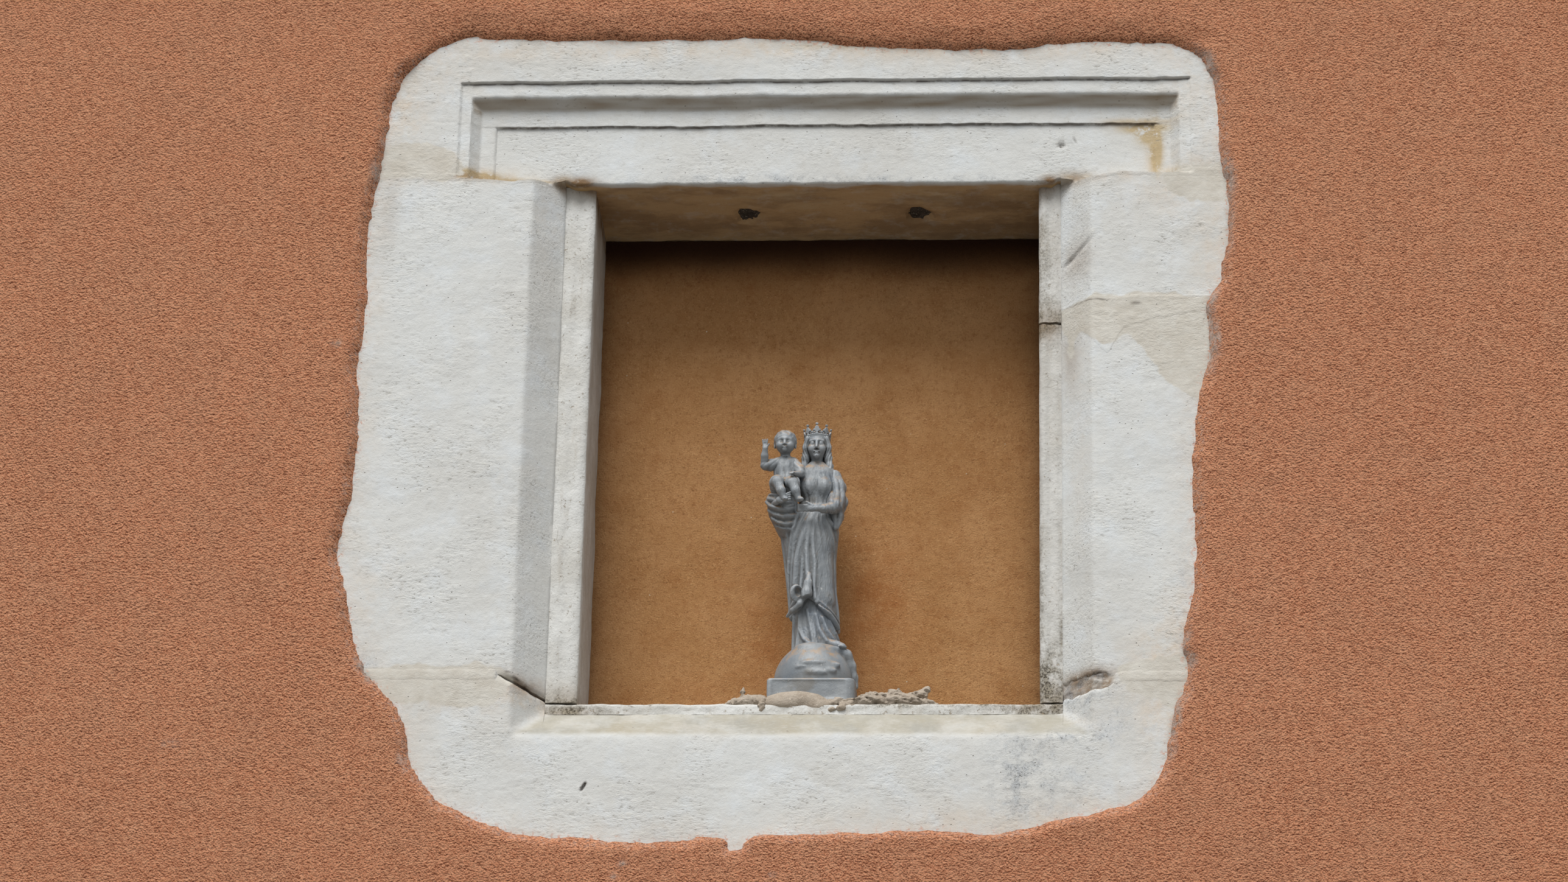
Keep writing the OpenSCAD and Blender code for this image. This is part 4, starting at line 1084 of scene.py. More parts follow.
def make_ledge():
    """The ledge: a strip of plaster over the sill's chamfer, its rounded edge and its top."""
    xs = steps(-HALF_W, 3.8, HALF_W)
    up = np.linspace(0, 1, 6)
    turn = np.linspace(0, math.pi / 2, 5)[1:]
    radius = 5
    height = LEDGE_Z - np.clip(2.0 + 1.6 * wave(81, xs / 90) + 1.4 * wave(82, xs / 22), 0, 6)
    deep = steps(radius, 7, STONE_BACK - RECESS_Y)[1:]
    n = len(xs)
    ones = np.ones(n)[:, None]
    face_z = SEAT_Z + (height - radius - SEAT_Z)[:, None] * up[None, :]
    face_y = np.full((n, len(up)), RECESS_Y)
    arc_z = height[:, None] - radius * (1 - np.sin(turn))[None, :]
    arc_y = RECESS_Y + ones * radius * (1 - np.cos(turn))[None, :]
    deep_y = RECESS_Y + ones * deep[None, :]
    deep_x = np.repeat(xs[:, None], len(deep), 1)
    fill = np.clip(LEDGE_Z - height, 0, 9)[:, None] * 0.6 * smooth((deep_y - RECESS_Y) / 40)
    dips = np.clip(0.8 + 0.9 * wave(83, deep_x / 60, deep_y / 50), 0, 3) * smooth((deep_y - RECESS_Y) / 30)
    top_z = height[:, None] + fill - dips
    back_y = ones * STONE_BACK
    back_z = ones * SEAT_Z
    y = np.concatenate([face_y, arc_y, deep_y, back_y], 1)
    z = np.concatenate([face_z, arc_z, top_z, back_z], 1)
    x = np.repeat(xs[:, None], y.shape[1], 1)
    front = np.clip(1 - (y - RECESS_Y) / 8, 0, 1)
    rough = np.clip(1.3 + 1.5 * wave(84, x / 34, z / 16) + 0.9 * wave(85, x / 9, z / 8), 0, 5)
    y = y + rough * front
    z = np.minimum(z, LEDGE_Z)
    # Darker towards the back of the ledge and at its ends: grime and painted shade.
    corners = blob(x, z, [(-340, 330, 60, 8, 0.5), (340, 338, 60, 14, 0.5), (260, 345, 80, 5, 0.4)])
    grime = np.clip(0.02 + 0.35 * smooth((y - RECESS_Y - 5) / 50) + corners, 0, 1)
    lichen = blob(x, z, [(345, 340, 70, 30, 1.0), (240, 345, 70, 8, 1.0), (-335, 331, 50, 9, 1.0),
                         (-250, 345, 40, 4, 0.6), (-190, 347, 60, 4, 0.7), (-60, 346, 60, 4, 0.5),
                         (130, 343, 50, 8, 0.8)])
    points = np.stack([x, y, z], -1)
    make_piece("ledge_strip", points.reshape(-1, 3), tube_faces(n, y.shape[1]), ["ledge"], "lining_plaster",
               grime=grime.reshape(-1), lichen=lichen.reshape(-1))


# Statuette: fields that are negative inside, turned into skins

GLOBE_LO, GLOBE_HI = box("half_globe")
PLINTH_TOP = GLOBE_LO[2]
FEET = np.array([(GLOBE_LO[0] + GLOBE_HI[0]) / 2 - 2, (GLOBE_LO[1] + GLOBE_HI[1]) / 2, PLINTH_TOP + 60])


def skin(field, lo, hi, step):
    """Points and quads of the surface where a field passes through nought, inside a box."""
    step = step * COARSE
    axes = [np.arange(a, b + step, step) for a, b in zip(lo, hi)]
    f = field(*np.meshgrid(*axes, indexing="ij"))
    for axis in range(3):
        edge = np.moveaxis(f, axis, 0)
        edge[0] = edge[-1] = step
    low = f < 0
    size = np.array(f.shape) - 1
    count = sum(low[i:size[0] + i, j:size[1] + j, k:size[2] + k].astype(np.int8)
                for i, j, k in itertools.product((0, 1), repeat=3))
    cell = np.argwhere((count > 0) & (count < 8))
    index = np.full(size, -1)
    index[tuple(cell.T)] = np.arange(len(cell))
    total, hits = np.zeros((len(cell), 3)), np.zeros(len(cell))
    quads = []
    for axis in range(3):
        ahead = np.eye(3, dtype=int)[axis]
        for other in itertools.product((0, 1), repeat=2):
            a = np.insert(other, axis, 0)
            fa, fb = f[tuple((cell + a).T)], f[tuple((cell + a + ahead).T)]
            cross = (fa < 0) != (fb < 0)
            t = np.where(cross, fa / np.where(cross, fa - fb, 1), 0)
            total += cross[:, None] * (a + t[:, None] * ahead)
            hits += cross
        u, v = np.eye(3, dtype=int)[(axis + 1) % 3], np.eye(3, dtype=int)[(axis + 2) % 3]
        near = np.moveaxis(low, axis, 0)
        at = np.argwhere(np.moveaxis(near[1:] != near[:-1], 0, axis))
        quads.append(np.stack([index[tuple((at - s).T)] for s in (u + v, v, 0 * u, u)], -1))
    points = np.array(lo) + (cell + total / hits[:, None]) * step
    return points, np.concatenate(quads).tolist()


def ball(p, c, r):
    """Distance outside a ball."""
    return np.sqrt(sum((a - b) ** 2 for a, b in zip(p, c))) - r


def egg(p, c, r):
    """About the distance outside an egg with three half widths."""
    q = [(a - b) / k for a, b, k in zip(p, c, r)]
    inner = np.sqrt(sum(a * a for a in q)) + 1e-6
    outer = np.sqrt(sum((a / k) ** 2 for a, k in zip(q, r))) + 1e-6
    return inner * (inner - 1) / outer


def rod(p, a, b, ra, rb):
    """A bar with round ends that tapers from one radius to another."""
    ab = [v - u for u, v in zip(a, b)]
    t = np.clip(sum((q - u) * w for q, u, w in zip(p, a, ab)) / sum(w * w for w in ab), 0, 1)
    return np.sqrt(sum((q - u - t * w) ** 2 for q, u, w in zip(p, a, ab))) - (ra + (rb - ra) * t)


def chain(p, stops, k):
    """Bars through stops of X, Y, Z and radius."""
    return merged([rod(p, a[:3], b[:3], a[3], b[3]) for a, b in zip(stops, stops[1:])], k)


def merged(parts, k):
    """One form from many, each joined to those before it."""
    return functools.reduce(lambda a, b: join(a, b, k), parts)


def join(a, b, k):
    """Two forms grown together, with a fillet of about that size."""
    h = np.clip(0.5 + 0.5 * (b - a) / k, 0, 1)
    return b + (a - b) * h - k * h * (1 - h)


def carve(a, b, k):
    """One form cut out of another, with a rounded edge."""
    return -join(-a, b, k)


def ridges(phase):
    """Round folds with narrow hollows, from 0 to 1."""
    return np.abs(np.sin(phase)) ** 0.8


# The sheets that folds are drawn on: degrees to each side, degrees between points, and the lowest height.
SHEET_REACH = 112
SHEET_STEP = 1.6
SHEET_FOOT = -10


def sheet(stations, strokes):
    """Heights of drawn folds over turn and height; a stroke has X, Z stops seen from the front, a half width,
    a height and its strength at both ends."""
    table = np.array(stations, float).T
    turn = np.radians(np.arange(-SHEET_REACH, SHEET_REACH + 1, SHEET_STEP))
    z = np.arange(SHEET_FOOT, 331, 1.0)
    radius = 38
    u, v = np.meshgrid(turn * radius, z, indexing="ij")
    total = np.zeros(u.shape)
    for stops, width, height, first, last in strokes:
        zs = np.array([stop[1] for stop in stops], float)
        off = np.array([stop[0] for stop in stops]) - np.interp(zs, table[0], table[1])
        off = off / np.interp(zs, table[0], table[3])
        us = radius * np.arcsin(np.clip(off, -0.995, 0.995))
        count = len(stops) - 1
        nearest = np.full(u.shape, 1e9)
        along = np.zeros(u.shape)
        for k in range(count):
            du, dz = us[k + 1] - us[k], zs[k + 1] - zs[k]
            t = np.clip(((u - us[k]) * du + (v - zs[k]) * dz) / (du * du + dz * dz), 0, 1)
            gap = np.hypot(u - us[k] - t * du, v - zs[k] - t * dz)
            along = np.where(gap < nearest, (k + t) / count, along)
            nearest = np.minimum(nearest, gap)
        strength = first + (last - first) * smooth(along)
        across = np.clip(nearest / (width * (0.55 + 0.45 * strength)), 0, 1)
        ridge = height * strength * np.cos(across * math.pi / 2)
        total = (total ** 3 + ridge ** 3) ** (1 / 3)
    return total


def read_sheet(heights, turn, z):
    """Height of the drawn folds at a place, between the four nearest points of the sheet."""
    a = np.clip((np.degrees(turn) + SHEET_REACH) / SHEET_STEP, 0, heights.shape[0] - 1.001)
    b = np.clip(z - SHEET_FOOT, 0, heights.shape[1] - 1.001)
    i, j = a.astype(int), b.astype(int)
    s, t = a - i, b - j
    return ((heights[i, j] * (1 - s) + heights[i + 1, j] * s) * (1 - t)
            + (heights[i, j + 1] * (1 - s) + heights[i + 1, j + 1] * s) * t)


def round_the_middle(p, stations):
    """Turn from the front, and distance outside a draped upright of height, X, Y, half width, half depth."""
    x, y, z = p
    table = np.array(stations, float).T
    cx, cy, ax, ay = [np.interp(z, table[0], row) for row in table[1:]]
    qx, qy = (x - cx) / ax, (y - cy) / ay
    return np.arctan2(qx, -qy), (np.hypot(qx, qy) - 1) * (ax + ay) / 2 * 0.85


GOWN = [
    (-6, 5, -1, 38, 35), (10, 5, -1, 36.5, 33), (40, 2, 0, 34, 30), (80, -2, 0, 33, 29), (130, -5, 0, 33, 29),
    (190, -6, 1, 32, 28), (228, -3, 2, 28, 23), (240, -1, 2, 27, 22), (258, 0, 2, 29, 23),
    (276, 0, 2, 32, 23), (292, 0, 3, 34, 21), (301, 0, 4, 30, 18), (308, 0, 4, 20, 14), (314, 0, 4, 12, 11),
    (330, 0, 4, 10, 10),
]
GOWN_FOLDS = [
    ([(-42, 60), (-40, 30), (-42, -4)], 6, 2.6, 0.8, 1),
    ([(-32, 60), (-32, 30), (-34, -4)], 5, 3.0, 0.8, 1),
    ([(-21, 56), (-25, 20), (-28, -4)], 4.6, 2.8, 0.7, 1),
    ([(-23, 56), (-22, 34), (-15, 16), (-4, 6)], 4.4, 3.4, 0.8, 0.8),
    ([(-9, 62), (-3, 32), (1, 5)], 4.6, 3.8, 0.8, 1),
    ([(-2, 56), (2, 30), (6, 4)], 3.6, 2.6, 0.8, 1),
    ([(4, 54), (10, 30), (21, 12), (32, 6)], 5, 3.8, 0.8, 1),
    ([(14, 50), (22, 30), (33, 16), (40, 10)], 4.6, 3.4, 0.8, 0.9),
    ([(26, 48), (34, 32), (42, 22)], 4.4, 2.6, 0.7, 0.9),
    ([(-14, 30), (-10, 12), (-8, -4)], 4.4, 2.4, 0.3, 1),
    ([(-15, 298), (-18, 270), (-15, 240)], 3.0, 1.2, 0.5, 1),
    ([(-8, 300), (-10, 266), (-8, 236)], 2.8, 1.5, 0.4, 1),
    ([(-2, 301), (-3, 268), (-4, 236)], 2.4, 1.1, 0.3, 1),
    ([(4, 300), (4, 266), (1, 236)], 2.8, 1.5, 0.3, 1),
    ([(10, 300), (13, 270), (9, 238)], 2.6, 1.3, 0.4, 1),
    ([(17, 297), (22, 272), (16, 240)], 3.2, 1.7, 0.5, 1),
    ([(24, 292), (28, 272), (23, 244)], 3.0, 1.6, 0.6, 1),
    ([(-6, 302), (8, 292), (22, 296)], 3.0, 1.2, 0.3, 0.4),
    ([(-22, 240), (-6, 232), (14, 235), (28, 244)], 5, 3.0, 0.8, 0.8),
]
MANTLE = [
    (26, 3, 0, 36, 32), (43, 2.5, 0, 37, 33), (76, -1, 0, 37.5, 35), (99, -4, 1, 37.5, 35),
    (124, -6, 1, 38.5, 35), (155, -8.5, 2, 40.5, 36), (180, -9.3, 2, 43.5, 37), (203, -9.5, 2, 45.5, 36),
    (222, -10, 3, 43, 33), (240, -10, 4, 38, 29), (262, -16, 6, 30, 24),
]
MANTLE_FOLDS = [
    ([(-53, 190), (-50, 142), (-44, 98), (-41, 50)], 8, 2.6, 0.6, 1),
    ([(-34, 190), (-40, 151), (-41, 112), (-38, 60)], 4.6, 2.6, 0.8, 1),
    ([(-28, 200), (-34, 158), (-36, 116), (-34, 88)], 4.2, 2.6, 0.6, 1),
    ([(0, 224), (-8, 204), (-19, 175), (-28, 140), (-30, 104)], 6.4, 3.8, 0.7, 1),
    ([(-16, 218), (-24, 196), (-32, 170)], 3.4, 2.6, 0.9, 0.5),
    ([(-24, 218), (-33, 200), (-44, 184)], 4.2, 3.0, 0.9, 0.7),
    ([(-12, 190), (-18, 151), (-19, 116), (-20, 92)], 3.6, 3.0, 0.3, 1),
    ([(2, 222), (-6, 202), (-12, 158), (-10, 123), (-8, 84)], 5, 4.2, 0.6, 1),
    ([(4, 222), (-1, 204), (-2, 170), (2, 135), (1, 98), (3, 78)], 4.2, 3.2, 0.6, 1),
    ([(7, 222), (3, 206), (9, 177), (15, 147), (20, 120)], 3.8, 3.2, 0.8, 0.1),
    ([(10, 220), (11, 200), (20, 170), (27, 140)], 3.4, 2.4, 0.8, 0.1),
    ([(14, 220), (17, 206), (30, 178), (35, 158), (38, 130)], 6, 3.0, 0.8, 0.3),
    ([(16, 214), (32, 200), (43, 184)], 5, 2.8, 0.7, 0.6),
    ([(24, 170), (25, 125), (27, 86)], 17, 3.0, 0.3, 0.9),
    ([(44, 176), (44, 110), (42, 50)], 6, 2.6, 0.6, 1),
    ([(-44, 60), (-38, 66), (-30, 78), (-26, 92)], 5, 3.2, 0.9, 0.9),
    ([(-40, 52), (-30, 58), (-20, 70)], 4, 3.0, 0.8, 0.9),
    ([(-6, 70), (9, 65), (26, 56), (38, 38)], 4, 4.2, 0.8, 1),
    ([(-8, 65), (0, 60), (17, 49), (34, 30)], 3.4, 3.6, 0.9, 0.9),
    ([(6, 76), (21, 66), (38, 50)], 3.4, 3.0, 0.6, 0.9),
    ([(4, 90), (8, 78), (4, 70)], 4.4, 3.0, 0.3, 0.9),
]
BUNDLE = [(180, -30, -2, 14, 20), (192, -38, -4, 20, 28), (206, -43, -6, 22, 31), (222, -48, -8, 25, 33),
          (240, -50, -9, 26, 33), (250, -50, -9, 23, 29), (258, -50, -9, 14, 20), (262, -50, -9, 4, 6)]
BUNDLE_FOLDS = [
    ([(-77, 250), (-70, 240), (-56, 232), (-40, 231), (-26, 236)], 5, 3.6, 0.9, 0.5),
    ([(-75, 240), (-68, 228), (-52, 219), (-38, 219), (-28, 226)], 5, 4.2, 0.9, 0.5),
    ([(-73, 227), (-62, 214), (-48, 208), (-34, 210), (-24, 216)], 4.6, 3.4, 0.6, 0.9),
    ([(-66, 212), (-56, 202), (-44, 197), (-32, 200), (-26, 208)], 4.4, 3.8, 0.9, 0.5),
    ([(-60, 200), (-48, 192), (-36, 190)], 3.6, 4.0, 0.6, 0.4),
    ([(-70, 252), (-58, 244), (-46, 242), (-36, 246)], 3.6, 4.0, 0.8, 0.4),
    ([(-34, 240), (-28, 230), (-27, 214), (-30, 196), (-33, 180)], 3.6, 4.5, 0.5, 1),
    ([(-50, 226), (-40, 224), (-31, 229)], 2.6, 2.6, 0.3, 0.8),
]
GOWN_SHEET = sheet(GOWN, GOWN_FOLDS)
BUNDLE_SHEET = sheet(BUNDLE, BUNDLE_FOLDS)
MANTLE_SHEET = sheet(MANTLE, MANTLE_FOLDS)


def back_folds(turn, z, depth):
    """Hanging folds round the back, where nothing is drawn."""
    share = smooth((np.abs(turn) - math.radians(96)) / math.radians(16))
    return share * depth * ridges(turn * 5.5 + 0.5 * np.sin(z / 40) + 0.4)


def gown_field(x, y, z):
    """The gown, with a round collar and one bare foot."""
    p = (x, y, z)
    turn, body = round_the_middle(p, GOWN)
    body = body + 2.2 - read_sheet(GOWN_SHEET, turn, z) - back_folds(turn, z, 3.4)
    bust = np.minimum(egg(p, (-12, -13, 266), (11, 11, 13)), egg(p, (12, -13, 266), (11, 11, 13)))
    bust = bust - 0.5 * read_sheet(GOWN_SHEET, turn, z)
    body = join(body, bust, 8)
    collar = np.hypot(np.hypot(x, (y - 2) / 0.9) - 13.0, z - 304.5 - 0.28 * y) - 1.3
    body = join(body, collar, 1.2)
    sole = chain(p, [(24, -22, 9, 8), (36, -25, 6, 6.5), (44, -29, 3, 5)], 3)
    toes = np.minimum.reduce([ball(p, (48.4 - 2.3 * k, -29 - 1.9 * k, 1.5 - 0.2 * k), 2.5 - 0.15 * k)
                              for k in range(5)])
    body = np.minimum(body, join(sole, toes, 1.2))
    return np.maximum(body, -z - 8)


def mantle_field(x, y, z):
    """The mantle over the gown, with the gathered cloth under the child."""
    p = (x, y, z)
    turn, cloth = round_the_middle(p, MANTLE)
    folds = read_sheet(MANTLE_SHEET, turn, z) + back_folds(turn, z, 4.0)
    cloth = cloth + 2.4 - folds
    hem = np.interp(np.degrees(turn), [-180, -110, -80, -60, -40, -25, -10, 10, 30, 60, 80, 110, 180],
                    [42, 44, 54, 57, 62, 70, 74, 66, 50, 37, 33, 36, 42])
    hem = hem - 0.9 * folds + 5
    cloth = -join(-cloth, -(hem - z) * 0.9, 2)
    cloth = -join(-cloth, (226 + 3 * np.sin(turn * 2) - z) * 0.8, 5)
    turn, bundle = round_the_middle(p, BUNDLE)
    bundle = np.maximum(bundle, np.abs(z - 224) - 42) + 2.4 - read_sheet(BUNDLE_SHEET, turn, z)
    cloth = join(cloth, bundle, 4)
    scoop = egg(p, (-25.5, -39, 84), (9.5, 9, 13.5))
    scoop = np.maximum(scoop, (x + 25) * 0.4 - (y + 38) - 4.5 - 0.4 * (z - 84))
    scoop = carve(scoop, egg(p, (-21.5, -45, 84.5), (6.6, 9, 9.4)), 0.8)
    fold_end = chain(p, [(-7, -35, 116, 3), (-8, -38, 100, 6), (-9.5, -40, 84, 7.6), (-9.5, -40.5, 70, 8)], 3)
    fold_end = np.maximum(fold_end, 79.5 + 0.25 * x - z)
    fold_end = carve(fold_end, rod(p, (-14, -46, 100), (-14.5, -48, 78), 1.0, 1.6), 1.2)
    tail = chain(p, [(-39, -16, 56, 2.5), (-31, -28, 61, 3.6), (-20, -34, 69, 4.2), (-13, -34, 80, 3.5)], 2)
    return join(join(join(cloth, tail, 3), scoop, 1.6), fold_end, 1.2)


def head_field(x, y, z):
    """The mother's head: a plain face, the same on both sides, and parted hair."""
    p = (np.abs(x), y, z)
    face = join(egg(p, (0, 3, 345), (16.5, 19.5, 18.5)), egg(p, (0, -4.5, 329.5), (12.2, 12.5, 15.5)), 7)
    face = join(face, ball(p, (7.5, -10.5, 330), 5.2), 5)
    face = join(face, egg(p, (0, -13.6, 317.2), (4.2, 4.2, 3.8)), 4)
    face = join(face, rod(p, (2.5, -16.4, 341.6), (9.5, -13.2, 341.8), 1.5, 1.3), 3.4)
    face = carve(face, ball(p, (6.1, -20.2, 337.2), 4.3), 3.2)
    face = join(face, ball(p, (6.0, -12.9, 337.0), 3.4), 0.9)
    lid = np.maximum(ball(p, (6.0, -13.0, 337.0), 3.9), 337.9 - z + 0.003 * (x * x))
    face = join(face, lid, 0.5)
    face = join(face, rod(p, (0, -16.6, 338.6), (0, -20.6, 329.4), 1.5, 2.1), 2.2)
    face = join(face, ball(p, (2.3, -18.3, 328.4), 1.5), 1.3)
    face = join(face, egg(p, (1.2, -16.9, 323.6), (3.4, 2.2, 1.15)), 1.0)
    face = join(face, egg(p, (0, -16.5, 321.2), (3.3, 2.3, 1.35)), 0.9)
    neck = rod((x, y, z), (0, 4, 298), (0, 2, 322), 9.0, 8.2)
    face = join(face, neck, 5)
    ring = np.hypot(x / 12, (z - 334) / 20) * 15
    strand = 1.1 * ridges(0.62 * ring + 1.3 * np.sin(z / 5.5 + 0.5) + 0.12 * y)
    cap = join(egg(p, (0, 5, 347), (18.5, 21, 18.5)), egg(p, (0, 12, 333), (18.5, 14, 22)), 6)
    cap = carve(cap, rod((x, y, z), (0, -14, 361), (0, 8, 366.5), 1.2, 1.2), 2.5)
    cap = carve(cap, egg((x, y + 20, z), (0, 0, 335), (12.4, 17, 21.5)), 2.5)
    locks = chain(p, [(13.5, -7, 347, 4.6), (16.5, -4, 334, 4.8), (17, 0, 319, 5.2), (19, 0, 306, 5.0),
                      (20.5, -5, 294, 3.4)], 4)
    fall = chain(p, [(7, 17, 330, 9), (9, 19, 308, 9), (10, 20, 288, 7)], 6)
    hair = join(join(cap, locks, 4), fall, 6) - strand + 0.5
    return join(face, hair, 0.8)


def crown_field(x, y, z):
    """A band with eight plain leaves between beads, worn a little tilted."""
    z = z + 8 + 0.12 * (y - 2)
    lean = 1 + (z - 352) * 0.006
    reach = 17.6
    radius = np.hypot(x, y - 3) / lean
    turn = np.arctan2(x, y - 3)
    band = np.maximum(np.abs(radius - reach) - 1.2, np.abs(z - 355) - 3.6)
    off = radius - reach - 0.3
    rims = np.minimum(np.hypot(off, z - 352), np.hypot(off, z - 358.4)) - 1.3
    step = np.abs((turn / (math.pi / 4) + 0.5) % 1 - 0.5) * math.pi / 4 * reach
    leaf = (np.hypot(step / 3.2, (z - 366) / 5.2) - 1) * 3
    leaf = np.minimum(leaf, np.hypot(step, z - 374) - 1.9)
    leaf = np.minimum(leaf, np.hypot(step, z - 359.5) - 1.8)
    leaf = np.minimum(leaf, np.hypot(step - 3.8, z - 364.8) - 1.8)
    leaf = np.maximum(leaf, np.abs(radius - reach - 0.2) - 1.3)
    half = np.abs((turn / (math.pi / 4)) % 1 - 0.5) * math.pi / 4 * reach
    beads = np.sqrt(half ** 2 + (z - 361.8) ** 2 + (radius - reach) ** 2) - 2.0
    return join(join(band, rims, 0.6), join(leaf, beads, 0.6), 0.8) * 0.9


def fingers(p, roots, tips, radius):
    """Four bent fingers between a row of knuckles and a row of tips."""
    bent = []
    for a, b in zip(np.linspace(*roots, 4), np.linspace(*tips, 4)):
        middle = (a + b) / 2
        near = rod(p, a, middle, radius, radius * 0.95)
        bent.append(join(near, rod(p, middle, b, radius * 0.95, radius * 0.8), 0.6))
    return merged(bent, 0.4)


def arm_left_field(x, y, z):
    """Her left arm, laid across the front."""
    p = (x, y, z)
    sleeve = chain(p, [(27, 2, 290, 11), (31, -1, 270, 12), (32, -7, 246, 12.5), (28, -22, 231, 11)], 8)
    drape = chain(p, [(33, -4, 242, 10.5), (33, -10, 218, 8), (31, -14, 200, 4)], 7)
    whole = join(sleeve, drape, 8)
    bend = (x - 31) / 3.6 + (y + 6) / 11 + 0.6 * np.sin(z / 15)
    folds = 2.0 * ridges(bend) * smooth((296 - z) / 20)
    folds = folds + 0.8 * ridges((z + 0.9 * x - y) / 6) * smooth((262 - z) / 10)
    whole = whole - folds + 1.2
    cuff = chain(p, [(32, -19, 229, 9.0), (24, -31, 224, 8.0), (13, -40, 219, 6.6)], 3)
    cuff = cuff - 0.7 * ridges((x + 0.5 * z) / 2.4)
    whole = join(whole, cuff, 1.2)
    wrist = chain(p, [(15, -40, 218.5, 5.2), (4, -46, 217, 4.6)], 1)
    palm = egg(p, (-4, -48, 216.5), (9, 4.4, 5.6))
    held = fingers(p, [(-10, -50, 220), (-10, -48, 213)], [(-26, -50, 221.5), (-24, -46, 214)], 2.0)
    hand = join(join(wrist, palm, 3), held, 1.5)
    hand = join(hand, rod(p, (-2, -50, 220), (-12, -51, 225.5), 2.2, 1.8), 1.5)
    return join(whole, hand, 0.8)


def arm_right_field(x, y, z):
    """Her right arm, bent under the child."""
    p = (x, y, z)
    sleeve = chain(p, [(-27, 2, 290, 11), (-38, 0, 270, 11.5), (-54, -2, 252, 11), (-60, -14, 240, 9.5)], 7)
    folds = 1.6 * ridges((x + 44) / 5 - (z - 250) / 24 + 0.7 * np.sin(z / 13))
    sleeve = sleeve - (folds - 0.8) * smooth((297 - z) / 12)
    wrist = chain(p, [(-62, -22, 233, 6.5), (-56, -42, 230, 4.6)], 2)
    palm = egg(p, (-50, -50, 230), (7.5, 4.2, 6))
    held = fingers(p, [(-46, -54, 235), (-47, -53, 226)], [(-36, -56, 239), (-36, -54, 229)], 1.8)
    hand = join(join(wrist, palm, 3), held, 1.4)
    hand = join(hand, rod(p, (-50, -54, 234), (-45, -57, 241), 2.0, 1.6), 1.4)
    return join(sleeve, hand, 2)


def child_body_field(x, y, z):
    """The child, seated, in a belted shirt, with bare legs and feet."""
    p = (x, y, z)
    trunk = join(egg(p, (-45, -19, 266), (19, 16, 20)), egg(p, (-46, -18, 291), (18, 13, 22)), 8)
    trunk = join(trunk, rod(p, (-58, -18, 304), (-34, -17, 304), 8, 8), 6)
    folds = 1.3 * ridges((x + 45) / 3.6 + 0.6 * np.sin(z / 11) + 0.3)
    trunk = trunk - (folds - 1.0) * smooth((306 - z) / 12) * smooth((z - 246) / 10)
    belt = np.abs(np.hypot((x + 45.5) / 1.12, y + 18.5) - 16.5) + np.abs(z - 271 - 0.05 * x) * 0.8 - 2.4
    trunk = join(trunk, belt, 1.5)
    skirt = np.minimum(rod(p, (-55, -26, 257), (-57, -42, 261), 11.5, 10.5),
                       rod(p, (-37, -26, 256), (-34, -42, 260), 11.5, 10.5))
    skirt = skirt - 1.7 * ridges(y / 3.1 + x / 9)
    trunk = join(trunk, skirt, 4)
    right_leg = [(-56, -34, 258, 9), (-56, -50, 259, 8), (-50, -55, 243, 6.6), (-46, -54, 232, 4.4)]
    left_leg = [(-35, -34, 257, 9), (-33, -51, 257, 8), (-28, -55, 242, 6.6), (-24, -54, 231, 4.4)]
    legs = np.minimum(chain(p, right_leg, 2.5), chain(p, left_leg, 2.5))
    feet = np.minimum(chain(p, [(-45, -53, 230, 4.4), (-42, -60, 227, 3.4)], 1.5),
                      chain(p, [(-23, -53, 229, 4.4), (-19, -61, 226, 3.4)], 1.5))
    toes = np.minimum.reduce([ball(p, (cx - 2.6 + 1.7 * k, -63.4 + 0.5 * k, cz - 0.6), 1.2)
                              for k in range(4) for cx, cz in ((-42, 227), (-19, 226))])
    legs = join(join(legs, feet, 2), toes, 0.8)
    collar = np.hypot(np.hypot(x + 46, y + 19) - 8.6, z - 311) - 1.2
    return join(join(trunk, legs, 1.0), collar, 1.5)


def child_head_field(x, y, z):
    """The child's head: a plain face, the same on both sides, and curls."""
    cx, cy, cz = -47, -23, 333.5
    q = (np.abs(x - cx), y - cy, z - cz)
    face = join(egg(q, (0, 1, 3), (16, 17, 16)), egg(q, (0, -4, -7), (12.5, 11.5, 11)), 6)
    face = join(face, ball(q, (7.4, -9.4, -7.5), 5.0), 3.5)
    face = join(face, ball(q, (0, -12.2, -15), 3.0), 3)
    face = join(face, rod(q, (2, -14.8, 1.4), (8.5, -12.0, 1.4), 1.2, 1.0), 3)
    face = carve(face, ball(q, (5.8, -18.2, -2.4), 4.0), 3)
    face = join(face, ball(q, (5.6, -11.2, -2.4), 3.1), 0.9)
    face = join(face, rod(q, (0, -14.8, -2), (0, -17.2, -7.2), 1.1, 1.9), 2)
    face = join(face, ball(q, (1.9, -15.6, -7.6), 1.2), 1.2)
    face = join(face, egg(q, (0.9, -14.8, -11.4), (2.4, 1.9, 1.0)), 0.9)
    face = join(face, egg(q, (0, -14.4, -13.3), (2.3, 1.9, 1.1)), 0.8)
    ears = egg(q, (15.4, 1.5, -4), (1.8, 3.2, 4.4))
    face = join(face, ears, 1.2)
    hair = carve(egg(q, (0, 2.6, 4.5), (17.2, 18.2, 16.8)), egg(q, (0, -24, -10), (17, 14, 20)), 3)
    curls = 0.8 * np.sin(x / 1.9 + np.sin(z / 2.4)) * np.sin(z / 2.1 + np.sin(y / 2.2)) * np.sin(y / 2.3 + 1)
    neck = rod((x, y, z), (-46, -19, 308), (-47, -21, 322), 7.6, 7.2)
    return join(join(face, hair - curls, 0.7), neck, 3)


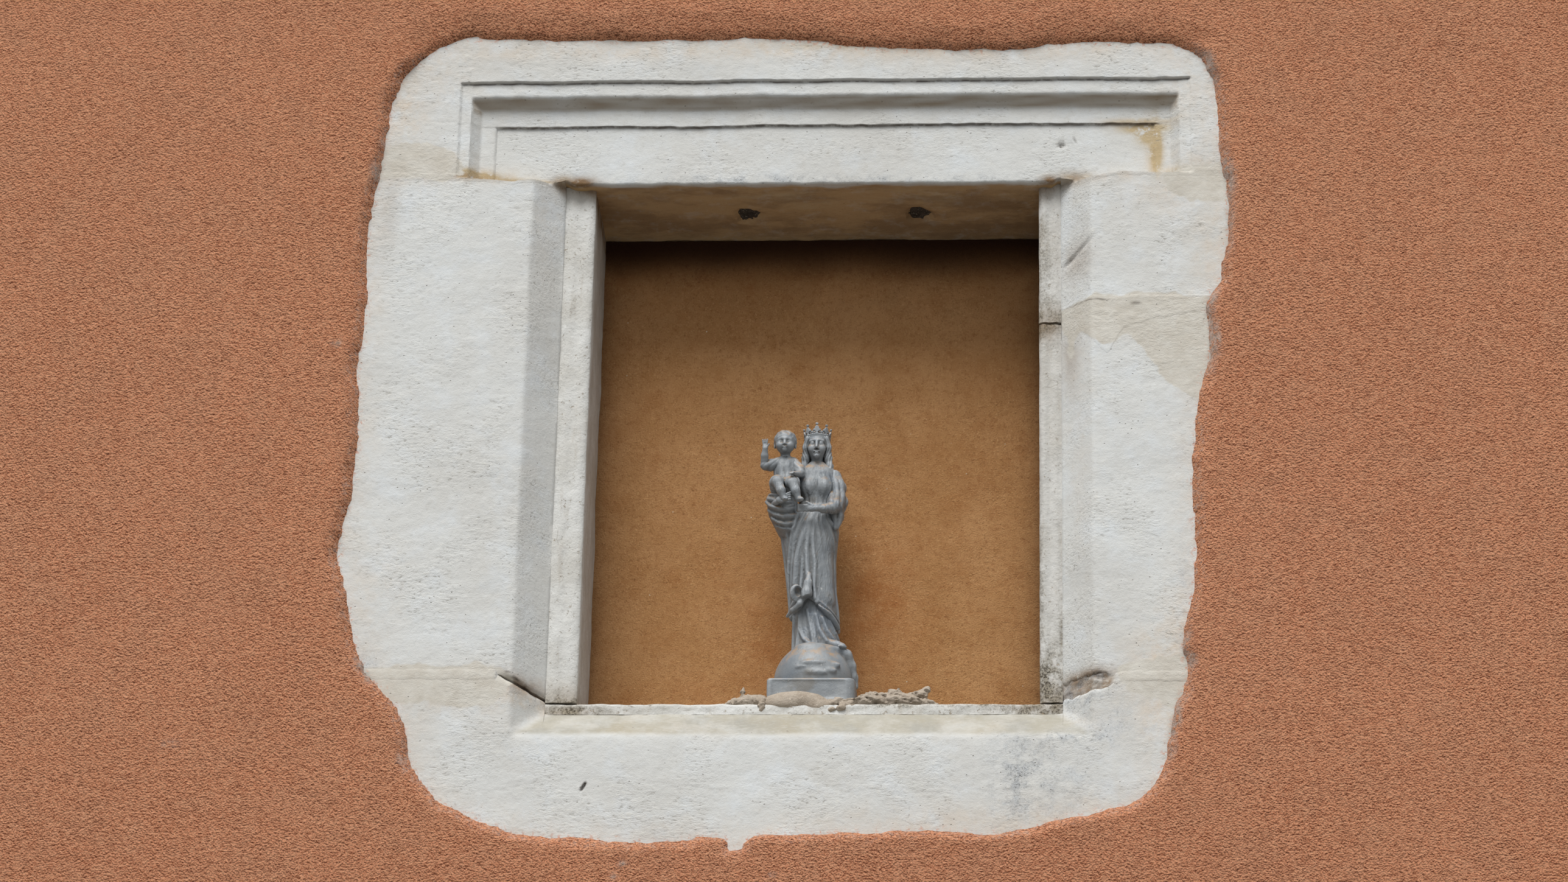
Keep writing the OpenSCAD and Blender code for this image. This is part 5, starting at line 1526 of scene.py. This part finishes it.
def child_arm_right_field(x, y, z):
    """The child's right arm, raised."""
    p = (x, y, z)
    sleeve = chain(p, [(-58, -19, 303, 8.2), (-69, -22, 298, 8.2), (-76, -26, 296, 7.2)], 3)
    sleeve = sleeve - 0.6 * ridges((x - z) / 3.2)
    arm = chain(p, [(-77, -26, 297, 6.2), (-77, -33, 309, 5.4), (-76, -38, 318, 3.9)], 2)
    palm = egg(p, (-76, -39, 321.5), (4.2, 2.4, 5))
    spread = fingers(p, [(-79, -39.5, 325), (-73.4, -39.5, 325.5)],
                     [(-80, -41, 332), (-72.6, -41, 332.5)], 1.15)
    hand = join(palm, spread, 1)
    hand = join(hand, rod(p, (-73, -40, 320), (-70, -42, 324.5), 1.3, 1.1), 1)
    return join(join(arm, hand, 2), sleeve, 0.8)


def child_arm_left_field(x, y, z):
    """The child's left arm, reaching down."""
    p = (x, y, z)
    sleeve = chain(p, [(-33, -18, 303, 7.4), (-25, -23, 291, 7), (-23, -29, 282, 6)], 3)
    sleeve = sleeve - 0.6 * ridges((x + z) / 3.2)
    arm = chain(p, [(-23, -29, 281, 4.8), (-26, -42, 275, 4.2), (-31, -51, 272, 3.2)], 2)
    palm = egg(p, (-33, -54, 271), (4.6, 4, 2.6))
    bent = fingers(p, [(-35, -57, 271), (-31, -58, 271)], [(-38, -60, 267.5), (-33, -62, 267.5)], 1.1)
    hand = join(palm, bent, 1)
    return join(join(arm, hand, 2), sleeve, 0.8)


FIGURE_PARTS = [
    ("figure_gown", ["mother_gown"], gown_field, (-54, -50, -9), (56, 46, 322), 1.6),
    ("figure_mantle", ["mother_mantle"], mantle_field, (-86, -58, 26), (50, 50, 262), 1.45),
    ("figure_head", ["mother_head"], head_field, (-30, -26, 282), (30, 34, 370), 0.9),
    ("figure_crown", ["mother_crown"], crown_field, (-23, -22, 338), (23, 28, 374), 0.72),
    ("figure_arm_left", ["mother_arm_left"], arm_left_field, (-26, -56, 186), (64, 20, 306), 1.15),
    ("figure_arm_right", ["mother_arm_right"], arm_right_field, (-78, -62, 218), (-18, 20, 306), 1.0),
    ("figure_child", ["child_body"], child_body_field, (-72, -68, 222), (-14, 4, 316), 1.05),
    ("figure_child_head", ["child_head"], child_head_field, (-68, -46, 306), (-26, 2, 362), 0.7),
    ("figure_child_arm_left", ["child_arm_left"], child_arm_left_field, (-44, -66, 260), (-14, -8, 314),
     0.75),
    ("figure_child_arm_right", ["child_arm_right"], child_arm_right_field, (-86, -46, 282), (-50, -8, 338),
     0.75),
]
CLOTHED = ("figure_gown", "figure_mantle", "figure_arm_left", "figure_arm_right", "figure_child")


def hollows(points, faces, normals, rounds):
    """How deep each point lies between its neighbours: 0 on open cloth, 1 in a crease."""
    quads = np.array(faces)
    a = quads.ravel()
    b = np.roll(quads, -1, axis=1).ravel()
    way = points[b] - points[a]
    rise = np.sum(way * (normals[a] - normals[b]), -1) / np.sqrt(np.sum(way ** 2, -1) + 1e-9)
    links = np.bincount(a, minlength=len(points)) + 1e-9
    value = np.bincount(a, rise, len(points)) / links
    for _ in range(rounds):
        value = 0.5 * value + 0.5 * np.bincount(a, value[b], len(points)) / links
    return value


def dust_and_painted_shading(piece, points, faces, step, cloth=0.0):
    """Gives a piece its dust on ledges and in creases, painted shade in its creases and folds, a painted
    highlight on its edges, and its share of fine wrinkles.
    """
    normals = np.empty(len(points) * 3, np.float32)
    piece.data.vertices.foreach_get("normal", normals)
    normals = normals.reshape(-1, 3)
    # crease and fold: painted shade where the surface is hollow; edge: a painted highlight where it bulges.
    crease = smooth(hollows(points, faces, normals, 1) / step * 5 - 0.35)
    broad = hollows(points, faces, normals, 14) / step
    fold, edge = smooth(broad * 16), smooth(-broad * 12 - 0.1)
    speckle = wave(301, *(points / 11).T) + 0.6 * wave(302, *(points / 4).T)
    ledge = smooth((normals[:, 2] + 0.05) / 0.7)
    dust = np.clip(1.1 * ledge + 0.5 * fold + 0.7 * speckle - 0.75, 0, 1)
    woven = np.full(len(points), cloth)
    marks = {"dust": dust, "crease": crease, "fold": fold, "edge": edge, "cloth": woven}
    for name, values in marks.items():
        layer = piece.data.attributes.new(name, "FLOAT", "POINT")
        layer.data.foreach_set("value", values.astype(np.float32))


def make_figure():
    for name, replaced, field, lo, hi, step in FIGURE_PARTS:
        points, faces = skin(field, lo, hi, step)
        piece = make_piece(name, points + FEET, faces, replaced, "statuette_grey", 60)
        dust_and_painted_shading(piece, points, faces, step, 1.0 if name in CLOTHED else 0.0)


# Base of the statuette

def globe_field(x, y, z):
    """The dome the figure stands on, with soft clouds in front and a fold that trails down one side."""
    p = (x, y, z)
    dome = ball(p, (2, 0, -45), 60) + 0.5 * wave(121, x / 17, y / 17, z / 17)
    frayed = 1.2 * wave(123, x / 7, z / 4)
    for cx, cz, rx, rz in ((-14, -39, 9, 2.2), (2, -33, 16, 3.2), (8, -49, 15, 3.8), (28, -44, 9, 4),
                           (33, -34, 10, 4.5)):
        cy = 1.8 - math.sqrt(60 ** 2 - (cx - 2) ** 2 - (cz + 45) ** 2)
        dome = join(dome, egg(p, (cx, cy, cz), (rx, 3.4, rz)) + frayed, 4)
    fold = chain(p, [(38, -24, -1, 7), (50, -20, -8, 7.5), (57, -15, -24, 6.5), (61, -12, -40, 5),
                     (63.5, -10, -54, 3.5)], 4)
    fold = fold - 0.8 * ridges((x + y) / 4)
    mound = join(egg(p, (-4, -24, -1), (22, 18, 9)), egg(p, (24, -18, -2), (18, 18, 8)), 8)
    return np.maximum(join(join(dome, mound, 8), fold, 3), -60 - z)


def plinth_field(x, y, z):
    """A low block with softened corners and a plain sunk plate in front."""
    lo, hi = box("plinth_block")
    middle = (lo + hi) / 2 - FEET
    half = (hi - lo) / 2
    q = [np.abs(v - m) - h + 4 for v, m, h in zip((x, y, z), middle, half)]
    block = np.sqrt(sum(np.maximum(v, 0) ** 2 for v in q)) + np.minimum(np.maximum.reduce(q), 0) - 4
    corner = np.hypot(x - middle[0] - half[0] + 16, y - middle[1] + half[1] - 16) - 16
    in_corner = (x > middle[0] + half[0] - 16) & (y < middle[1] - half[1] + 16)
    block = np.where(in_corner, np.maximum(block, corner), block)
    plate = np.maximum(np.abs(x - middle[0] + 4) - half[0] + 12, np.abs(z - middle[2]) - half[2] + 5)
    plate = np.maximum(plate, y - middle[1] + half[1] - 1.4)
    return carve(block, plate, 0.8) + 0.35 * wave(122, x / 14, y / 14, z / 7)


# Mortar under the plinth, in row coordinates

def kneaded(p, seed, coarse, fine):
    """The crumbled surface of mortar that was pressed in by hand."""
    x, y, z = p
    heaps = coarse * wave(seed, x / 13, y / 13, z / 9) + fine * wave(seed + 1, x / 5, y / 5, z / 4)
    return heaps + fine * (0.9 - 2.4 * np.abs(wave(seed + 7, x / 8, y / 6, z / 4.2)))


def bedding_left_field(x, y, z):
    """The roll of mortar left of the plinth, with a drip, a crumb and a spur."""
    p = (x, y, z)
    low = chain(p, [(-121, -150, 350, 4), (-104, -156, 355, 7), (-82, -158, 357, 8.5),
                    (-60, -160, 356, 8.5)], 6)
    high = chain(p, [(-110, -142, 359, 4.5), (-88, -146, 365, 6), (-62, -148, 366, 6.5)], 4)
    drip = chain(p, [(-68, -164, 355, 7), (-61, -180, 350, 5.5), (-60, -187, 340, 4.5),
                     (-61, -188, 331, 3)], 4)
    crumb = chain(p, [(-110, -166, 352, 3), (-104, -176, 348, 4), (-103, -182, 345, 2.5)], 2)
    spur = chain(p, [(-93, -147, 368, 2.4), (-91, -147, 375, 4), (-90, -147, 384, 1.6)], 2)
    roll = join(join(low, high, 1.5), join(drip, crumb, 2), 3)
    return np.maximum(join(roll, spur, 1.5) + kneaded(p, 131, 1.8, 1.2), LEDGE_Z - 18 - z)


def bedding_front_field(x, y, z):
    """The bed under the plinth, with a smooth lens in front and chunks beside it."""
    p = (x, y, z)
    lens = join(egg(p, (-12, -172, 350), (48, 18, 17)), egg(p, (-30, -176, 344), (30, 14, 11)), 8)
    lens = join(lens, egg(p, (22, -176, 341), (26, 13, 12)), 6)
    under = egg(p, (-44, -192, 334), (17, 7, 5))
    crack = rod(p, (-30, -191, 353), (-8, -193, 352), 1.2, 0.5)
    crack = np.minimum(crack, rod(p, (-8, -193, 352), (14, -191, 347), 0.6, 1.1))
    hole = ball(p, (13, -190, 350), 1.8)
    smooth_part = carve(carve(lens, under, 2), np.minimum(crack, hole), 0.8) + kneaded(p, 135, 0.5, 0.15)
    places = ((40, -180, 343, 8), (50, -177, 350, 7), (60, -180, 344, 7.5), (55, -186, 337, 6),
              (68, -176, 348, 6), (42, -186, 335, 5), (72, -184, 340, 4.5))
    chunks = merged([egg(p, (cx, cy, cz), (r * 1.25, r, r * 0.85)) for cx, cy, cz, r in places], 1.2)
    chunks = chunks + kneaded(p, 137, 1.8, 1.4)
    bed = np.maximum(np.maximum(np.abs(x - 9) - 64, np.abs(y + 104) - 66), np.abs(z - 350) - 8)
    return join(join(smooth_part, chunks, 2), bed + kneaded(p, 139, 1, 0.5), 3)


def bedding_right_field(x, y, z):
    """The long roll of mortar right of the plinth."""
    p = (x, y, z)
    back = chain(p, [(78, -158, 354, 10), (98, -157, 361, 10), (118, -156, 362, 9), (136, -156, 366, 8.5),
                     (156, -155, 363, 8.5), (170, -154, 367, 8), (178, -154, 375, 5),
                     (181, -154, 381, 2.5)], 5)
    front = chain(p, [(74, -174, 348, 7), (94, -175, 353, 9), (114, -172, 353, 9), (136, -170, 354, 9),
                      (160, -166, 355, 8), (176, -162, 354, 6), (192, -160, 352, 3)], 5)
    knob = chain(p, [(118, -152, 366, 6), (132, -152, 373, 6.5), (137, -152, 378, 3.5)], 4)
    roll = join(join(back, front, 1.2), knob, 2)
    roll = roll - 2.8 * ridges((0.45 * x + 0.9 * z + 5 * wave(141, x / 16, z / 12)) / 4.4) + 1.8
    cuts_in = egg(p, (150, -176, 362), (9, 12, 4))
    return np.maximum(carve(roll + kneaded(p, 142, 1.8, 1.4), cuts_in, 2), LEDGE_Z - 14 - z)


BASE_PARTS = [
    ("figure_globe", ["half_globe"], globe_field, (-67, -67, -61), (70, 66, 20), 1.9, FEET, "statuette_grey"),
    ("figure_plinth", ["plinth_block"], plinth_field, (-68, -70, -100), (70, 68, -58), 2.3, FEET,
     "statuette_grey"),
    ("bedding_lump_left", ["bedding_left"], bedding_left_field, (-129, -194, 326), (-50, -132, 390), 1.5, 0,
     "bedding_mortar"),
    ("bedding_lump_front", ["bedding_front"], bedding_front_field, (-63, -196, 324), (80, -34, 370), 2.0, 0,
     "bedding_mortar"),
    ("bedding_lump_right", ["bedding_right"], bedding_right_field, (64, -190, 330), (198, -136, 390), 1.5, 0,
     "bedding_mortar"),
]


def make_base():
    for name, replaced, field, lo, hi, step, origin, slot in BASE_PARTS:
        points, faces = skin(field, lo, hi, step)
        piece = make_piece(name, points + origin, faces, replaced, slot, 60)
        dust_and_painted_shading(piece, points, faces, step)


# Mortar in the joints and smeared over the stones

def stone_front(x, z):
    """The face of the lintel or of the jamb under it."""
    joint = np.where(x < 0, left_top_joint(x), right_top_joint(x))
    return FACE_Y + np.where(z > joint, lintel_front(x, z), jamb_front(x, z))


def mortar_strip(name, node, xs, low, high, sunk, relief, seed, crumbly=None):
    """Mortar between two stones, feathered out over their edges or sunk between them."""
    reach = 14
    rows = np.linspace(0, 1, max(5, round((np.max(high - low) + 2 * reach) / (2.6 * COARSE))))

    def front(x, z):
        rough = wave(seed, x / 16, z / 11) + 0.6 * wave(seed + 1, x / 6, z / 5)
        under = np.maximum(low[:, None] - z, z - high[:, None])
        return (stone_front(x, z) + sunk[:, None] - relief[:, None] * np.clip(rough, -1.2, 1.2)
                + 1.2 * smooth((under - 3) / 10))

    def fields(x, z):
        marks = stone_fields(x, z)
        if crumbly:
            marks["grime"] = marks["lichen"] = crumbly(x, z)
        return marks

    panel(name, xs, low - reach, high + reach, rows, front, STONE_BACK, [node], "joint_mortar", fields)


def make_mortar():
    """Mortar over the five joints."""
    xs = steps(STONE_LEFT, 8, -660, 3.2, -HALF_W - 0.3)
    middle = left_top_joint(xs)
    flat = np.full(len(xs), 0.2)
    mortar_strip("mortar_top_left", "mortar_lintel_left", xs, middle - 1, middle + 1, flat - 0.5, flat, 151)
    xs = steps(STONE_LEFT, 8, -640, 3.2, -HALF_W - 0.3)
    middle, gap = left_low_joint(xs), half_gap(xs, LEFT_CRACK)
    crack = smooth((LEFT_CRACK[0] - np.abs(xs)) / 16)
    # The open part of the crack is darkened by its grime and lichen marks: painted shade in the gap.
    mortar_strip("mortar_low_left", "mortar_sill_left", xs, middle - gap, middle + gap, 13.5 * crack - 0.5,
                 0.2 + crack, 191, lambda x, z: smooth((LEFT_CRACK[0] + 6 - np.abs(x)) / 12) * 0.9)
    xs = steps(HALF_W + 0.3, 3.2, 640, 8, STONE_RIGHT)
    middle = right_top_joint(xs)
    flat = np.full(len(xs), 0.2)
    mortar_strip("mortar_top_right", "mortar_lintel_right", xs, middle - 1, middle + 1, flat - 0.6,
                 flat + 0.1, 161)
    mortar_strip("mortar_middle_right", "mortar_jamb_right", xs, right_split(xs),
                 np.full(len(xs), UPPER_JAMB_FOOT), flat - 0.7, flat, 171)
    middle, gap = right_low_joint(xs), half_gap(xs, RIGHT_BREAK)
    open_part = smooth((RIGHT_BREAK[0] - xs) / 16)
    mortar_strip("mortar_low_right", "mortar_sill_right", xs, middle - gap, middle + gap,
                 3.5 * open_part - 0.5, 0.2 + 3.2 * open_part, 181,
                 lambda x, z: smooth((RIGHT_BREAK[0] + 4 - x) / 14) * (0.72 + 0.4 * wave(183, x / 7, z / 6)))


def make_sockets():
    """Crumbly filling in the two pockets under the lintel."""
    for side, cx in zip(("left", "right"), SOCKET_X):
        cy = FACE_Y + SOCKET_REACH

        def field(x, y, z):
            around = 1 + 0.10 * np.cos(6 * np.arctan2(y - cy, x - cx))
            wall = (np.hypot((x - cx) / 17.5, (y - cy) / 22.5) - around) * 18
            grain = 2.2 * wave(201, x / 7, y / 7) + 1.6 * wave(202, x / 3.5, y / 3.5)
            return np.maximum(np.maximum(wall, SOFFIT_Z + 6.5 + grain - z), z - SOFFIT_Z - 16)

        points, faces = skin(field, (cx - 22, cy - 27, SOFFIT_Z), (cx + 22, cy + 27, SOFFIT_Z + 20), 1.8)
        make_piece("socket_" + side, points, faces, ["socket_filling_" + side], "dark_filling", 60)


# Rubble where the bay of wall is cut

RUBBLE_TOP = 1520
RUBBLE_LENGTH = 185
RUBBLE_COURSE = 105


def rubble(u, v, seed):
    """Relief, tone and mortar of roughly coursed stones."""
    row = v / RUBBLE_COURSE + 0.18 * wave(seed, u / 260, v / 500)
    best = np.full(u.shape, 9.0)
    second = np.full(u.shape, 9.0)
    tone = np.zeros(u.shape)
    for dr, dc in itertools.product((-1, 0, 1), (-1, 0, 1)):
        r = np.floor(row) + dr
        c = np.floor(u / RUBBLE_LENGTH + 0.5 * (r % 2)) + dc
        jitter = [hashed(seed + k, [r.astype(np.int64), c.astype(np.int64)]) for k in (1, 2, 3)]
        du = u - (c + 0.5 - 0.5 * (r % 2) + 0.22 * jitter[0]) * RUBBLE_LENGTH
        du = du / RUBBLE_COURSE * 0.66
        dv = row - r - 0.5 - 0.12 * jitter[1]
        gap = (du ** 4 + dv ** 4) ** 0.25
        nearer = gap < best
        second = np.where(nearer, best, np.minimum(second, gap))
        tone = np.where(nearer, jitter[2], tone)
        best = np.minimum(best, gap)
    joint = 1 - smooth((second - best) / 0.13)
    relief = 9 * joint + 3 * (tone + 1) / 2 + 1.6 + 1.5 * wave(seed + 5, u / 34, v / 26)
    return np.clip(relief, 0, 16), (tone + 1) / 2, joint


def rubble_panel(name, node, us, low, high, outer, back, sign, seed, axes):
    """Rubble over a cut face of the bay, with its relief sunk into the CAD box."""
    def relief(u, v):
        return outer + sign * rubble(u, v, seed)[0]

    def fields(u, v):
        return dict(zip(("tone", "mortar"), rubble(u, v, seed)[1:]))

    rows = np.linspace(0, 1, round((high - low) / (11 * COARSE)))
    panel(name, us, np.full(len(us), float(low)), np.full(len(us), float(high)), rows, relief, back, [node],
          "rubble_masonry", fields, axes)


def plain_block(name, node, lo, hi):
    """Rubble that no side shows."""
    corners = np.array(list(itertools.product(*zip(lo, hi))), float)
    faces = [(0, 1, 3, 2), (4, 6, 7, 5), (0, 4, 5, 1), (2, 3, 7, 6), (0, 2, 6, 4), (1, 5, 7, 3)]
    make_piece(name, corners, faces, [node], "rubble_masonry", tone=np.full(8, 0.5), mortar=np.zeros(8))


def make_rubble():
    """Rubble over the cut faces of the bay, and plain blocks behind and above the stones."""
    front, rear = box("masonry_left")[0][1], box("masonry_left")[1][1]
    us = steps(front, 11, rear)
    end_on = (1, 0, 2)
    rubble_panel("rubble_left", "masonry_left", us, 0, RUBBLE_TOP, -BAY_X, STONE_LEFT, 1, 211, end_on)
    rubble_panel("rubble_right", "masonry_right", us, 0, RUBBLE_TOP, BAY_X, STONE_RIGHT, -1, 221, end_on)
    rubble_panel("rubble_top", "masonry_above", steps(-BAY_X + 12, 12, BAY_X - 12), front, rear, BAY_TOP,
                 RUBBLE_TOP, -1, 231, (0, 2, 1))
    plain_block("rubble_behind_left", "masonry_left", (STONE_LEFT, STONE_BACK, 0),
                (-HALF_W, rear, RUBBLE_TOP))
    plain_block("rubble_behind_right", "masonry_right", (HALF_W, STONE_BACK, 0),
                (STONE_RIGHT, rear, RUBBLE_TOP))
    plain_block("rubble_behind_lintel", "masonry_above", (-HALF_W, STONE_BACK, SOFFIT_Z),
                (HALF_W, rear, RUBBLE_TOP))
    plain_block("rubble_over_lintel", "masonry_above", (STONE_LEFT, FACE_Y, LINTEL_HI[2]),
                (STONE_RIGHT, STONE_BACK, RUBBLE_TOP))


# Floor

# Half the width of the ground, in metres.
FLOOR_REACH = 14


def make_floor():
    """Ground that lights the wall from below, and can't be seen from underneath."""
    mesh = bpy.data.meshes.new("floor")
    corners = [(x * FLOOR_REACH, y * FLOOR_REACH, 0) for x, y in ((-1, -1), (1, -1), (1, 1), (-1, 1))]
    mesh.from_pydata(corners, [], [(0, 1, 2, 3)])
    floor = bpy.data.objects.new("floor", mesh)
    bpy.context.scene.collection.objects.link(floor)
    f = Finish("floor")
    seen = f.add("ShaderNodeLightPath").outputs["Is Camera Ray"]
    f.coat(seen, (120, 118, 114), (222, 220, 216))
    soil = f.add("ShaderNodeBsdfDiffuse", {"Color": f.colour}).outputs[0]
    clear = f.add("ShaderNodeBsdfTransparent").outputs[0]
    underneath = f.add("ShaderNodeNewGeometry").outputs["Backfacing"]
    blend = f.add("ShaderNodeMixShader", {0: underneath, 1: soil, 2: clear}).outputs[0]
    f.add("ShaderNodeOutputMaterial", {"Surface": blend})
    mesh.materials.append(f.material)


make_camera()
make_light()
make_floor()
make_roughcast()
make_rear_coat()
make_jambs()
make_sill()
make_lintel()
make_plaster()
make_linings()
make_ledge()
make_figure()
make_base()
make_mortar()
make_sockets()
make_rubble()

for subpart in frame["record"]["subparts"]:
    solid = frame["nodes"][subpart["node"]]
    if not solid.hide_render:
        solid.data.materials.clear()
        solid.data.materials.append(FINISHES[subpart["material_slot"]])
